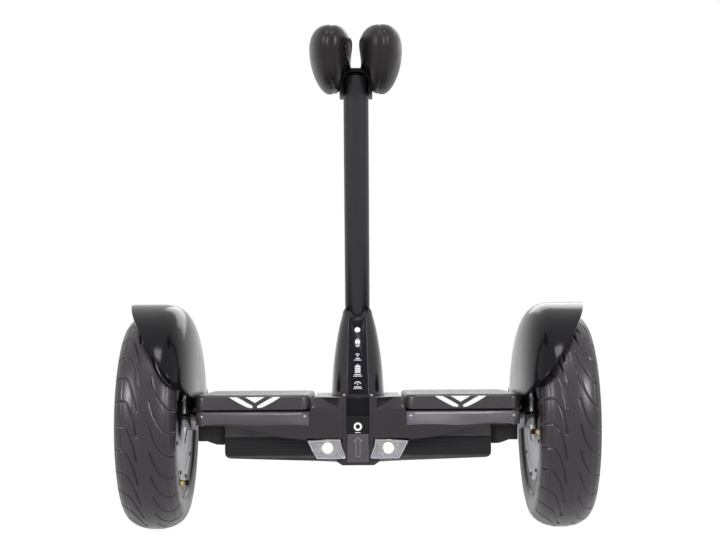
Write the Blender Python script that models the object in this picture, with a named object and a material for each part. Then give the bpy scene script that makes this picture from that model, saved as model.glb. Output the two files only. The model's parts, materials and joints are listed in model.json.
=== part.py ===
"""Self-balancing scooter with a leaning knee bar, as an assembly of separate pieces.

X runs along the wheels' axle, Y runs fore and aft with the rider's side at -Y, Z is up.
All sizes are in metres. The floor is Z = 0 and the origin lies under the middle.
Heights of the deck, neck and bar are drawn round an axle at AXLE_Z. The last step stands
everything on its tyres, so another tyre lifts all of it.
"""

import math

import bmesh
import bpy
from mathutils import Matrix, Vector

# Gap kept between pieces that touch
GAP = 0.0003
# How far a cutter reaches where it only has to pass right through
FAR = 0.2
AXLE_Z = 0.128

# Platform
DECK_HALF_LENGTH = 0.184
DECK_HALF_DEPTH = 0.096
DECK_CORNER = 0.012
BUMPER_RETURN_Y = 0.060
COVER_WALL = 0.0033
SEAM_Z = 0.1417
MAT_TOP = 0.1603
MAT_TRAVEL = 0.0012
MAT_INNER_X = 0.0543
SENSOR_THICKNESS = 0.0018
FRAME_TOP = 0.1412
FRAME_STEP = 0.1263
FRAME_BOTTOM = 0.112
TUB_HALF_LENGTH = DECK_HALF_LENGTH - 0.0325
TUB_HALF_DEPTH = DECK_HALF_DEPTH - 0.0178
POCKET_ROOF = 0.136
LEDGE_X = DECK_HALF_LENGTH - 0.014

# Wheels
TYRE_RADIUS = 0.128
TYRE_HALF_WIDTH = 0.0345
TYRE_CROWN = 0.022
TYRE_ROUNDNESS = 2.15
TYRE_WALL = 0.0065
WHEEL_X = DECK_HALF_LENGTH + 0.0545
BEAD_RADIUS = 0.0825
FLANGE_RADIUS = 0.090
RIM_HALF_WIDTH = 0.030
FLANGE_THICKNESS = 0.0025
RIM_RIBS = 5
RIB_TOP = 0.0215
MOTOR_BORE = 0.074
STATOR_RADIUS = 0.0705
STATOR_TEETH = 15
AXLE_RADIUS = 0.008
AXLE_COLLAR_RADIUS = 0.012
AXLE_COLLAR = (DECK_HALF_LENGTH + 0.008, WHEEL_X - 0.0335)
AXLE_INNER_X = DECK_HALF_LENGTH - 0.030
BEARING_RADIUS = 0.016
VALVE_TURNS = {"left": 210, "right": 262}
TYRE_STEPS = 40
RIM_STEPS = 24
CLAMP_HALF_DEPTH = 0.046

# Fenders
FENDER_CLEARANCE = 0.011
FENDER_RADIUS = TYRE_RADIUS + FENDER_CLEARANCE
FENDER_WALL_X = DECK_HALF_LENGTH + 0.004
FENDER_OUTER_X = WHEEL_X + 0.0305
FENDER_CROWN_X = WHEEL_X + 0.0015
FENDER_ROUNDNESS = 3.5
FENDER_WALL = 0.003
LIP_SLOPE = 1.4
FENDER_BOTTOM = 0.1384
FENDER_STEPS = 24

# Battery
BATTERY_HALF_LENGTH = TUB_HALF_LENGTH + 0.0005
BATTERY_HALF_DEPTH = DECK_HALF_DEPTH - 0.021
BATTERY_BOTTOM = 0.080
BATTERY_END_BOTTOM = 0.087
BATTERY_WALL = 0.003
BATTERY_CORNER = 0.006
BATTERY_FLOOR = 0.0935
CELL_RADIUS = 0.0092
CELL_ROWS = 6

# Centre hood and nose
HOOD_HALF_WIDTH = 0.0498
HOOD_TOP = 0.1572
HOOD_FRONT_TOP = 0.144
HOOD_EDGE_FRONT = DECK_HALF_DEPTH - 0.004
HOOD_EDGE_BACK = DECK_HALF_DEPTH - 0.009
SCOOP_INNER_X = 0.0212
SCOOP_OUTER_X = 0.0455
SCOOP_DEPTH = 0.0190
HOOD_SEAM_Y = 0.0178
HOOD_BOTTOM = 0.1112
NOSE_BOTTOM = 0.081
NOSE_BACK_Y = DECK_HALF_DEPTH - 0.0195
PANEL_HALF_WIDTH = 0.0126
PANEL_RECESS = 0.0030
FLAP_TOP = 0.1364
FLAP_BOTTOM = 0.1166
SOCKET_Z = 0.1225
CHARGE_SOCKET_RADIUS = 0.0058
LAMP_CENTRE = (0.0345, 0.0998)
LAMP_CHIP_RADIUS = 0.0062
LAMP_SPLIT_Y = DECK_HALF_DEPTH - 0.0075
LENS_FRONT_Y = DECK_HALF_DEPTH - 0.0015

# Steering neck
PIVOT_Z = 0.140
DRUM_RADIUS = 0.0389
DRUM_BOTTOM = 0.136
DRUM_TOP = 0.157
DRUM_FRONT_Y = -0.036
TROUGH_CLEARANCE = 0.0006
WELL_END = 0.0022
SHAFT_RADIUS = 0.007
PIVOT_BEARING_RADIUS = 0.0107
PEDESTAL_WALL = 0.0033
PEDESTAL_FRONT_Y = DRUM_FRONT_Y - 0.016
PEDESTAL_BACK_Y = DECK_HALF_DEPTH - 0.011
BEARING_END_WALL = 0.0014
ARM_RADIUS = 0.0125
ARM_TAIL_BOTTOM = 0.119
ARM_TAIL_HALF_WIDTH = 0.0045
LEAN_LIMIT = math.radians(12)
NECK_WALL = 0.0023
NECK_FRONT_WALL = 0.006
NECK_SEAM_Y = 0.026

# Knee bar
BAR_RADIUS = 0.015
BAR_WALL = 0.002
BAR_LEAN = math.radians(14)
BAR_PASSES_Y = 0.022
BAR_PASSES_Z = 0.267
BAR_BOTTOM = 0.166
BAR_TOP = 0.5365
SOCKET_RADIUS = BAR_RADIUS + 0.003
SOCKET_TOP = 0.231
COLLAR_WALL = 0.0022
BAR_FOOT_Y = BAR_PASSES_Y + (BAR_PASSES_Z - DRUM_TOP) * math.tan(BAR_LEAN)
DRUM_BACK_Y = BAR_FOOT_Y + BAR_RADIUS + 0.0098

# Neck's outline: level and how much wider than the bar it is there on each side, as photographed;
# the foot keeps its place on the drum and the collar its place on the bar when either changes
NECK_FOOT_Z = 0.157
NECK_FOOT_HALF_WIDTH = DRUM_RADIUS - 0.0056
NECK_COLLAR_HALF_WIDTH = BAR_RADIUS + COLLAR_WALL
NECK_LEVELS = (0.1575, 0.1595, 0.163, 0.171, 0.185, 0.202, 0.220, 0.238, 0.248, 0.256, 0.270)
NECK_FLARES = (0.0183, 0.0170, 0.0163, 0.0160, 0.0152, 0.0136, 0.0110, 0.0077, 0.0052, 0.0028,
               COLLAR_WALL)

# Display strip, on the neck's straight front
NECK_FRONT_SLOPE = 0.4316
STRIP_UP = Vector((0, NECK_FRONT_SLOPE, 1)).normalized()
STRIP_OUT = Vector((0, -STRIP_UP.z, STRIP_UP.y))
STRIP_BOTTOM = 0.1590
STRIP_TOP = 0.2505
STRIP_SUNK = 0.0022
STRIP_THICKNESS = 0.0018
BUTTON_Z = 0.2355
BUTTON_RADIUS = 0.0036

# Knee pads
PAD_HALF_THICKNESS = 0.0258
PAD_HALF_HEIGHT = 0.0395
PAD_HALF_LENGTH = 0.060
PAD_INNER_X = 0.0033
PAD_CENTRE_Z = 0.5517
PAD_CENTRE_Y = -0.050
PAD_LIFT = 0.30
PLATE_Y = PAD_CENTRE_Y - 0.009
PLATE_Z = PAD_CENTRE_Z + 0.007
PLATE_HALF_LENGTH = 0.038
PLATE_HALF_HEIGHT = 0.0162
PLATE_RIM = 0.0032
PLATE_SUNK = 0.0004
PLATE_DISH = 0.0026
PLATE_WALL = 0.0022
PLATE_STEPS = 20
PAD_ROUND = 20
PAD_ACROSS = 12
BRACKET_TOP = 0.5425
BRACKET_SHOULDER = 0.5375
BRACKET_WAIST = 0.530
BRACKET_BOTTOM = 0.512
BRACKET_FRONT_Y = PAD_CENTRE_Y - 0.005
BRACKET_BACK_Y = PAD_CENTRE_Y + 0.032

SIDES = ((-1, "left"), (1, "right"))


def clear_scene():
    for old in list(bpy.data.objects):
        bpy.data.objects.remove(old, do_unlink=True)


def material(name, colour, roughness, metallic=0.0):
    made = bpy.data.materials.new(name)
    made.use_nodes = True
    shader = made.node_tree.nodes["Principled BSDF"]
    shader.inputs["Base Color"].default_value = (*colour, 1.0)
    shader.inputs["Roughness"].default_value = roughness
    shader.inputs["Metallic"].default_value = metallic
    made.diffuse_color = (*colour, 1.0)
    return made


def make_object(name, bm, finish):
    mesh = bpy.data.meshes.new(name)
    bmesh.ops.remove_doubles(bm, verts=bm.verts, dist=1e-6)
    bmesh.ops.recalc_face_normals(bm, faces=bm.faces)
    bm.to_mesh(mesh)
    bm.free()
    mesh.shade_smooth()
    mesh.set_sharp_from_angle(angle=math.radians(35))
    if finish is not None:
        mesh.materials.append(finish)
    made = bpy.data.objects.new(name, mesh)
    bpy.context.scene.collection.objects.link(made)
    return made


def lathe(name, profile, finish, axis="X", centre=(0, 0, 0), steps=24, side=1):
    """Turn (along, radius) points round an axis; a profile that starts off the axis is a ring."""
    bm = bmesh.new()
    verts = [bm.verts.new((along * side, 0, radius)) for along, radius in profile]
    edges = [bm.edges.new(pair) for pair in zip(verts, verts[1:])]
    if profile[0][1] > 1e-6:
        edges.append(bm.edges.new((verts[-1], verts[0])))
    bmesh.ops.spin(
        bm, geom=verts + edges, cent=(0, 0, 0), axis=(1, 0, 0), dvec=(0, 0, 0),
        angle=2 * math.pi, steps=steps, use_merge=True, use_duplicate=False,
    )
    turns = {"X": Matrix.Identity(4), "Y": Matrix.Rotation(math.pi / 2, 4, "Z")}
    bmesh.ops.transform(bm, matrix=Matrix.Translation(centre) @ turns[axis], verts=bm.verts)
    return make_object(name, bm, finish)


def slab(name, outline, origin, across, upward, depth, finish=None):
    """Extrude a flat outline, given along two directions from an origin, through a depth."""
    bm = bmesh.new()
    corner = Vector(origin)
    across, upward = Vector(across), Vector(upward)
    verts = [bm.verts.new(corner + across * a + upward * b) for a, b in outline]
    face = bm.faces.new(verts)
    grown = bmesh.ops.extrude_face_region(bm, geom=[face])
    moved = [item for item in grown["geom"] if isinstance(item, bmesh.types.BMVert)]
    bmesh.ops.translate(bm, verts=moved, vec=Vector(depth))
    return make_object(name, bm, finish)


def prism(name, outline, low, high, finish=None, along="Y"):
    """Extrude an outline along a world axis: (X, Z) along Y, (Y, Z) along X or (X, Y) along Z."""
    frames = {"X": ((0, 1, 0), (0, 0, 1), (1, 0, 0)),
              "Y": ((1, 0, 0), (0, 0, 1), (0, 1, 0)),
              "Z": ((1, 0, 0), (0, 1, 0), (0, 0, 1))}
    across, upward, normal = frames[along]
    start = Vector(normal) * low
    return slab(name, outline, start, across, upward, Vector(normal) * (high - low), finish)


def box(name, low, high, finish=None):
    outline = [(low[0], low[1]), (high[0], low[1]), (high[0], high[1]), (low[0], high[1])]
    return prism(name, outline, low[2], high[2], finish, along="Z")


def side_box(name, side, across, low, high, finish=None):
    """A box on one side of the middle: its X range from the middle, then its (Y, Z) corners."""
    inner, outer = sorted((side * across[0], side * across[1]))
    return box(name, (inner, *low), (outer, *high), finish)


def rod(name, radius, start, end, finish=None, steps=24):
    """A round bar between two points."""
    start, end = Vector(start), Vector(end)
    along = end - start
    bm = bmesh.new()
    bmesh.ops.create_cone(bm, cap_ends=True, segments=steps, radius1=radius, radius2=radius,
                          depth=along.length)
    turn = along.to_track_quat("Z", "Y").to_matrix().to_4x4()
    bmesh.ops.transform(bm, matrix=Matrix.Translation((start + end) / 2) @ turn, verts=bm.verts)
    return make_object(name, bm, finish)


def pivot_rod(name, radius, start_y, end_y, finish=None, steps=24):
    """A round bar along the lean axis."""
    return rod(name, radius, (0, start_y, PIVOT_Z), (0, end_y, PIVOT_Z), finish, steps)


def loft(name, rings, finish=None):
    """Skin closed rings of equal counts and cap both ends."""
    bm = bmesh.new()
    loops = [[bm.verts.new(point) for point in ring] for ring in rings]
    for lower, upper in zip(loops, loops[1:]):
        count = len(lower)
        for i in range(count):
            j = (i + 1) % count
            bm.faces.new((lower[i], lower[j], upper[j], upper[i]))
    bm.faces.new(loops[0])
    bm.faces.new(loops[-1])
    return make_object(name, bm, finish)


def combine(target, other, operation):
    modifier = target.modifiers.new(operation.lower(), "BOOLEAN")
    modifier.operation = operation
    modifier.object = other
    modifier.solver = "EXACT"
    other.hide_render = True
    other.display_type = "WIRE"
    return target


def cut(target, *tools):
    for tool in tools:
        combine(target, tool, "DIFFERENCE")
    return target


def join(target, *pieces):
    for piece in pieces:
        combine(target, piece, "UNION")
    return target


def common(target, tool):
    return combine(target, tool, "INTERSECT")


def soften(target, width):
    modifier = target.modifiers.new("soft_edges", "BEVEL")
    modifier.width = width
    modifier.segments = 1
    modifier.limit_method = "ANGLE"
    modifier.angle_limit = math.radians(40)
    modifier.use_clamp_overlap = True
    return target


def empty(name, place):
    made = bpy.data.objects.new(name, None)
    made.location = place
    made.empty_display_size = 0.03
    bpy.context.scene.collection.objects.link(made)
    return made


def hang(axis, *pieces):
    """Give pieces modelled in world space their origin on an axis, and parent them to it."""
    for piece in pieces:
        piece.data.transform(Matrix.Translation(-axis.location))
        piece.parent = axis
    return pieces


def arc(cx, cy, radius, start, end, steps):
    """Points on a circle from one angle to another, in degrees."""
    return [(cx + radius * math.cos(math.radians(start + (end - start) * i / steps)),
             cy + radius * math.sin(math.radians(start + (end - start) * i / steps)))
            for i in range(steps + 1)]


def round_rectangle(low_x, low_y, high_x, high_y, radius, steps=4):
    return (arc(high_x - radius, low_y + radius, radius, -90, 0, steps)
            + arc(high_x - radius, high_y - radius, radius, 0, 90, steps)
            + arc(low_x + radius, high_y - radius, radius, 90, 180, steps)
            + arc(low_x + radius, low_y + radius, radius, 180, 270, steps))


def mirrored(outline):
    """Close a half outline, given at +X from top to bottom, with its mirror image."""
    return outline + [(-a, b) for a, b in reversed(outline)]


def sided(outline, side):
    return [(side * a, b) for a, b in outline]


def power(value, exponent):
    return math.copysign(abs(value) ** exponent, value)


# Wheels

def tyre_crown(steps):
    """The tread from one shoulder to the other, as a superellipse."""
    points = []
    for i in range(steps + 1):
        angle = math.radians(-90 + 180 * i / steps)
        along = TYRE_HALF_WIDTH * power(math.sin(angle), 2 / TYRE_ROUNDNESS)
        rise = TYRE_CROWN * abs(math.cos(angle)) ** (2 / TYRE_ROUNDNESS)
        points.append((along, TYRE_RADIUS - TYRE_CROWN + rise))
    return points


def tyre_profile():
    """The tread outside, then the beads and the casing's inside back to the first shoulder."""
    shoulder = TYRE_RADIUS - TYRE_CROWN
    seat = BEAD_RADIUS + GAP
    bead_face = RIM_HALF_WIDTH - FLANGE_THICKNESS - GAP
    over_flange = FLANGE_RADIUS + 4 * GAP
    bead = [(bead_face + 0.0040, over_flange), (bead_face, over_flange - 0.0005), (bead_face, seat),
            (bead_face - 0.009, seat)]
    inner = [(TYRE_HALF_WIDTH - TYRE_WALL, shoulder),
             (TYRE_HALF_WIDTH * 0.55, TYRE_RADIUS - TYRE_WALL - 0.004)]
    right = bead + inner
    left = [(-a, r) for a, r in reversed(right)]
    return tyre_crown(8) + right + left


def rim_profile():
    """From the axle line at the outer face, round the barrel and back inside to the axle line."""
    edge = RIM_HALF_WIDTH
    lip = edge - FLANGE_THICKNESS
    barrel_wall = MOTOR_BORE + 0.0035
    outer_face = [(0.025, 0), (0.025, 0.017), (0.018, 0.024), (0.0165, 0.040), (0.019, 0.070),
                  (edge - 0.001, 0.081)]
    barrel = [(edge, FLANGE_RADIUS), (lip, FLANGE_RADIUS), (lip, BEAD_RADIUS), (0.014, BEAD_RADIUS),
              (0.011, barrel_wall), (-0.011, barrel_wall), (-0.014, BEAD_RADIUS),
              (-lip, BEAD_RADIUS), (-lip, FLANGE_RADIUS), (-edge, FLANGE_RADIUS), (-edge, MOTOR_BORE)]
    axle_end = AXLE_RADIUS + 2 * GAP
    inner_face = [(0.012, MOTOR_BORE), (0.0125, 0.040), (0.013, 0.020), (0.010, 0.018),
                  (0.010, axle_end), (0.0195, axle_end), (0.0195, 0)]
    return outer_face + barrel + inner_face


def build_rim(side, name, finishes):
    """Cast rim whose closed outer face carries raised ribs from its hub to its barrel."""
    rim = lathe(f"{name}_rim", rim_profile(), finishes["cast_metal"], steps=RIM_STEPS, side=side)
    rib = [(0.018, -0.0070), (0.0735, -0.0042), (0.0735, 0.0042), (0.018, 0.0070)]
    rib_base = 0.0145
    for i in range(RIM_RIBS):
        turn = 2 * math.pi * i / RIM_RIBS
        outward = (0, math.sin(turn), math.cos(turn))
        sideways = (0, math.cos(turn), -math.sin(turn))
        join(rim, slab(f"{name}_rim_rib_{i}", rib, (side * (WHEEL_X + rib_base), 0, AXLE_Z),
                       outward, sideways, (side * (RIB_TOP - rib_base), 0, 0)))
    return rim


def stator_outline():
    """Laminated core with slots between its teeth."""
    points = []
    pitch = 2 * math.pi / STATOR_TEETH
    root = STATOR_RADIUS - 0.0185
    for i in range(STATOR_TEETH):
        for radius, offset in ((root, 0.02), (STATOR_RADIUS, 0.12), (STATOR_RADIUS, 0.78), (root, 0.88)):
            angle = (i + offset) * pitch
            points.append((radius * math.cos(angle), radius * math.sin(angle)))
    return points


def build_wheel(side, name, finishes):
    axis = empty(f"{name}_wheel_axis", (side * WHEEL_X, 0, AXLE_Z))
    tyre = lathe(f"{name}_tyre", tyre_profile(), finishes["rubber"], steps=TYRE_STEPS, side=side)
    rim = build_rim(side, name, finishes)
    edge = -RIM_HALF_WIDTH
    plate_inner = edge + 0.0055
    bore = BEARING_RADIUS + GAP
    cover_radius = MOTOR_BORE - GAP
    cover = lathe(
        f"{name}_motor_cover",
        [(edge, bore), (edge, 0.030), (edge + 0.002, 0.034), (edge + 0.002, 0.062), (edge, 0.066),
         (edge, cover_radius), (plate_inner, cover_radius), (plate_inner, bore)],
        finishes["silver"], steps=RIM_STEPS, side=side)
    bearing_face = edge - 0.0004
    inner_bearing = lathe(
        f"{name}_inner_bearing",
        [(bearing_face, AXLE_RADIUS + GAP), (bearing_face, BEARING_RADIUS),
         (plate_inner, BEARING_RADIUS), (plate_inner, AXLE_RADIUS + GAP)],
        finishes["steel"], steps=16, side=side)
    valve_angle = math.radians(VALVE_TURNS[name])
    stem_radius = FLANGE_RADIUS - 0.0085
    valve = lathe(
        f"{name}_valve",
        [(edge - GAP, 0), (edge - GAP, 0.0038), (edge - 0.0035, 0.0030), (edge - 0.0055, 0.0030),
         (edge - 0.006, 0.0022), (edge - 0.0115, 0.0022), (edge - 0.0115, 0)],
        finishes["brass"], steps=10, side=side)
    place = (0, stem_radius * math.sin(valve_angle), stem_radius * math.cos(valve_angle))
    valve.data.transform(Matrix.Translation(place))
    for piece in (tyre, rim, cover, inner_bearing, valve):
        piece.parent = axis


def build_axle(side, name, finishes):
    """The still half of a hub motor: axle, collar and wound core."""
    outer_end = WHEEL_X + 0.0185
    collar_start, collar_end = AXLE_COLLAR
    profile = [(AXLE_INNER_X, 0), (AXLE_INNER_X, AXLE_RADIUS), (collar_start, AXLE_RADIUS),
               (collar_start, AXLE_COLLAR_RADIUS), (collar_end, AXLE_COLLAR_RADIUS),
               (collar_end, AXLE_RADIUS), (outer_end, AXLE_RADIUS), (outer_end, 0)]
    lathe(f"{name}_axle", profile, finishes["steel"], centre=(0, 0, AXLE_Z), steps=20, side=side)
    core = prism(f"{name}_stator", [(y, z + AXLE_Z) for y, z in stator_outline()],
                 side * (WHEEL_X - 0.017), side * (WHEEL_X + 0.008), finishes["copper"], along="X")
    bore = rod(f"{name}_stator_bore", AXLE_RADIUS + GAP, (side * (WHEEL_X - 0.04), 0, AXLE_Z),
               (side * (WHEEL_X + 0.03), 0, AXLE_Z), steps=20)
    cut(core, bore)


def smooth_route(points, per_span):
    """Points on a Catmull-Rom curve through hand-chosen ones."""
    knots = [Vector(p) for p in points]
    knots = [2 * knots[0] - knots[1]] + knots + [2 * knots[-1] - knots[-2]]
    route = []
    for a, b, c, d in zip(knots, knots[1:], knots[2:], knots[3:]):
        for i in range(per_span):
            t = i / per_span
            route.append(0.5 * ((2 * b) + (c - a) * t + (2 * a - 5 * b + 4 * c - d) * t ** 2
                                + (3 * b - a - 3 * c + d) * t ** 3))
    route.append(knots[-2])
    return route


def build_motor_cable(side, name, finishes):
    """The phase leads in their sleeve, from the axle collar over into the deck's end."""
    end = DECK_HALF_LENGTH
    top = AXLE_Z + AXLE_COLLAR_RADIUS + GAP
    points = [(end + 0.0175, 0, top), (end + 0.0175, 0, top + 0.006), (end + 0.0172, -0.004, top + 0.011),
              (end + 0.0162, -0.013, top + 0.011), (end + 0.0145, -0.022, top + 0.003),
              (end + 0.0115, -0.030, top - 0.0058), (end + 0.0060, -0.034, top - 0.0078),
              (end + GAP, -0.034, top - 0.0078)]
    curve = bpy.data.curves.new(f"{name}_motor_cable", "CURVE")
    curve.dimensions = "3D"
    curve.bevel_depth = 0.0027
    curve.bevel_resolution = 2
    curve.use_fill_caps = True
    route = smooth_route([(side * x, y, z) for x, y, z in points], 2)
    spline = curve.splines.new("POLY")
    spline.points.add(len(route) - 1)
    for point, place in zip(spline.points, route):
        point.co = (*place, 1)
    curve.materials.append(finishes["cable"])
    made = bpy.data.objects.new(f"{name}_motor_cable", curve)
    bpy.context.scene.collection.objects.link(made)


# Fenders

def fender_profile(inset):
    """(X from the centre, radius from the axle) from the flat inner wall up over the tyre."""
    half = FENDER_CROWN_X - FENDER_WALL_X - inset
    height = FENDER_RADIUS - inset
    points = []
    for i in range(9):
        angle = math.radians(90 * i / 8)
        along = FENDER_CROWN_X - half * math.cos(angle) ** (2 / FENDER_ROUNDNESS)
        radius = height * math.sin(angle) ** (2 / FENDER_ROUNDNESS)
        points.append((along, radius))
    return points


def build_fender(side, name, finishes):
    outer = fender_profile(0) + [(FENDER_OUTER_X, FENDER_RADIUS)]
    inner = [(FENDER_OUTER_X, FENDER_RADIUS - FENDER_WALL)] + list(reversed(fender_profile(FENDER_WALL)))
    profile = [(a - FENDER_CROWN_X, max(r, 0)) for a, r in outer + inner]
    bm = bmesh.new()
    verts = [bm.verts.new((a * side, -r, 0)) for a, r in profile]
    edges = [bm.edges.new((verts[i], verts[(i + 1) % len(verts)])) for i in range(len(verts))]
    bmesh.ops.spin(bm, geom=verts + edges, cent=(0, 0, 0), axis=(1, 0, 0), dvec=(0, 0, 0),
                   angle=-math.pi, steps=FENDER_STEPS, use_merge=False, use_duplicate=False)
    bmesh.ops.remove_doubles(bm, verts=bm.verts, dist=1e-6)
    bmesh.ops.holes_fill(bm, edges=[e for e in bm.edges if e.is_boundary], sides=0)
    place = Matrix.Translation((side * FENDER_CROWN_X, 0, AXLE_Z))
    bmesh.ops.transform(bm, matrix=place, verts=bm.verts)
    fender = make_object(f"{name}_fender", bm, finishes["gloss_black"])
    # The lip falls from the outer tip at the top to the wall beside the deck, bowed a little outwards
    top_z = AXLE_Z + FENDER_RADIUS
    heel_x = FENDER_WALL_X + 0.004
    below = FENDER_BOTTOM - 0.02
    past = FENDER_OUTER_X + 0.03
    fall = [(0.003, 0.0035), (-0.021, -0.026), (-0.046, -0.0655)]
    lip = [(FENDER_OUTER_X + out, top_z + up) for out, up in fall]
    lip += [(heel_x, top_z - (FENDER_OUTER_X - heel_x) * LIP_SLOPE), (heel_x, below), (past, below),
            (past, top_z + fall[0][1])]
    lip_cut = prism(f"{name}_lip_cut", sided(lip, side), -FAR, FAR)
    base_cut = side_box(f"{name}_fender_base_cut", side, (DECK_HALF_LENGTH - 0.014, past),
                        (-FAR, FENDER_BOTTOM - 0.09), (FAR, FENDER_BOTTOM))
    reach = BUMPER_RETURN_Y - 0.0008
    ledge = side_box(f"{name}_fender_ledge", side, (LEDGE_X, FENDER_WALL_X + FENDER_WALL - GAP),
                     (-reach, FENDER_BOTTOM), (reach, FRAME_TOP))
    cut(fender, lip_cut, base_cut)
    join(fender, ledge)


# Platform

def build_frame(finishes):
    """Cast tray: a deck slab over a tub with two pockets a side, a well for the neck and its bearings."""
    inset = COVER_WALL + GAP
    frame = prism("main_frame", round_rectangle(
        -DECK_HALF_LENGTH + inset, -DECK_HALF_DEPTH + inset,
        DECK_HALF_LENGTH - inset, DECK_HALF_DEPTH - inset, 0.009, 2),
        FRAME_STEP, FRAME_TOP, finishes["cast_metal"], along="Z")
    lap = FRAME_STEP + 0.002
    tub = box("frame_tub", (-TUB_HALF_LENGTH, -TUB_HALF_DEPTH, FRAME_BOTTOM),
              (TUB_HALF_LENGTH, TUB_HALF_DEPTH, lap))
    cheeks = box("frame_cheeks", (-DECK_HALF_LENGTH, -0.050, lap),
                 (DECK_HALF_LENGTH, 0.050, FENDER_BOTTOM - 0.0007))
    join(frame, tub, cheeks)
    pedestal_radius = PIVOT_BEARING_RADIUS + PEDESTAL_WALL
    well_front, well_back = DRUM_FRONT_Y - WELL_END, DRUM_BACK_Y + WELL_END
    join(frame, pivot_rod("front_pedestal", pedestal_radius, PEDESTAL_FRONT_Y, well_front),
         pivot_rod("back_pedestal", pedestal_radius, well_back, PEDESTAL_BACK_Y))
    half_well = DRUM_RADIUS + 0.0013
    well = box("frame_well", (-half_well, well_front, FRAME_BOTTOM + 0.003), (half_well, well_back, 0.16))
    seat = PIVOT_BEARING_RADIUS + GAP
    front_seat = pivot_rod("front_bearing_seat", seat, PEDESTAL_FRONT_Y + BEARING_END_WALL, 0)
    back_seat = pivot_rod("back_bearing_seat", seat, 0.05, PEDESTAL_BACK_Y - BEARING_END_WALL)
    cut(frame, well, front_seat, back_seat)
    for face in (-1, 1):
        low, high = sorted((face * (NOSE_BACK_Y - 0.0008), face * FAR))
        cut(frame, box(f"nose_notch_{face + 2}", (-0.0183, low, 0.10), (0.0183, high, 0.1392)))
        low, high = sorted((face * (HOOD_EDGE_BACK + 0.0002), face * FAR))
        cut(frame, box(f"hood_notch_{face + 2}", (-0.0548, low, 0.136), (0.0548, high, 0.16)))
    for side, name in SIDES:
        for place, start, end in (("inner", 0.056, 0.097), ("outer", 0.101, TUB_HALF_LENGTH - 0.0055)):
            cut(frame, side_box(f"{name}_{place}_pocket", side, (start, end),
                                (-0.070, FRAME_BOTTOM - 0.01), (0.070, POCKET_ROOF)))
        reach = BUMPER_RETURN_Y - 0.0004
        cut(frame, side_box(f"{name}_ledge_seat", side, (LEDGE_X - 0.0005, DECK_HALF_LENGTH + 0.016),
                            (-reach, FENDER_BOTTOM - GAP), (reach, 0.16)))
        reach = CLAMP_HALF_DEPTH + 0.0005
        cut(frame, side_box(f"{name}_clamp_seat", side, (TUB_HALF_LENGTH + 0.001, DECK_HALF_LENGTH + 0.016),
                            (-reach, 0.10), (reach, AXLE_Z)))
        cut(frame, rod(f"{name}_axle_seat", AXLE_RADIUS + GAP, (side * (AXLE_INNER_X - GAP), 0, AXLE_Z),
                       (side * (DECK_HALF_LENGTH + 0.016), 0, AXLE_Z), steps=20))
    return frame


def build_clamp(side, name, finishes):
    """Lower half of the axle seat, under the frame's end."""
    inner, outer = TUB_HALF_LENGTH + 0.0015, DECK_HALF_LENGTH + 0.002
    top = AXLE_Z - GAP
    outline = [(inner, top), (inner, 0.1035), (inner + 0.003, 0.1013), (inner + 0.011, 0.1016),
               (outer - 0.016, 0.1035), (outer - 0.0105, 0.1056), (outer, 0.1056), (outer, top)]
    clamp = prism(f"{name}_axle_clamp", sided(outline, side), -CLAMP_HALF_DEPTH, CLAMP_HALF_DEPTH,
                  finishes["dark_metal"])
    cut(clamp, rod(f"{name}_clamp_bore", AXLE_RADIUS + GAP, (side * (AXLE_INNER_X - 0.004), 0, AXLE_Z),
                   (side * (outer + 0.014), 0, AXLE_Z), steps=20))


def mat_outline(inset, side):
    outline = round_rectangle(MAT_INNER_X + inset, -DECK_HALF_DEPTH + inset, DECK_HALF_LENGTH - inset,
                              DECK_HALF_DEPTH - inset, DECK_CORNER - inset)
    return sided(outline, side)


def build_mat(side, name, finishes):
    axis = empty(f"{name}_mat_axis", (side * (MAT_INNER_X + DECK_HALF_LENGTH) / 2, 0, MAT_TOP))
    bottom = SEAM_Z + MAT_TRAVEL + 0.0005
    sensor_top = FRAME_TOP + GAP + SENSOR_THICKNESS
    edge = 0.004
    rings = [[(x, y, bottom) for x, y in mat_outline(0, side)],
             [(x, y, MAT_TOP - edge) for x, y in mat_outline(0, side)],
             [(x, y, MAT_TOP - edge * 0.3) for x, y in mat_outline(edge * 0.3, side)],
             [(x, y, MAT_TOP) for x, y in mat_outline(edge, side)]]
    mat = loft(f"{name}_foot_mat", rings, finishes["rubber"])
    underside = prism(f"{name}_mat_underside", mat_outline(0.004, side), bottom - 0.01,
                      sensor_top + MAT_TRAVEL + 0.0005, along="Z")
    cut(mat, underside)
    hang(axis, mat)
    low, high = sorted((side * (MAT_INNER_X + 0.0117), side * (DECK_HALF_LENGTH - 0.024)))
    deep = DECK_HALF_DEPTH - 0.018
    outline = round_rectangle(low, -deep, high, deep, 0.006, 2)
    prism(f"{name}_foot_sensor", outline, FRAME_TOP + GAP, sensor_top, finishes["dark_plastic"], along="Z")


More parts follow.
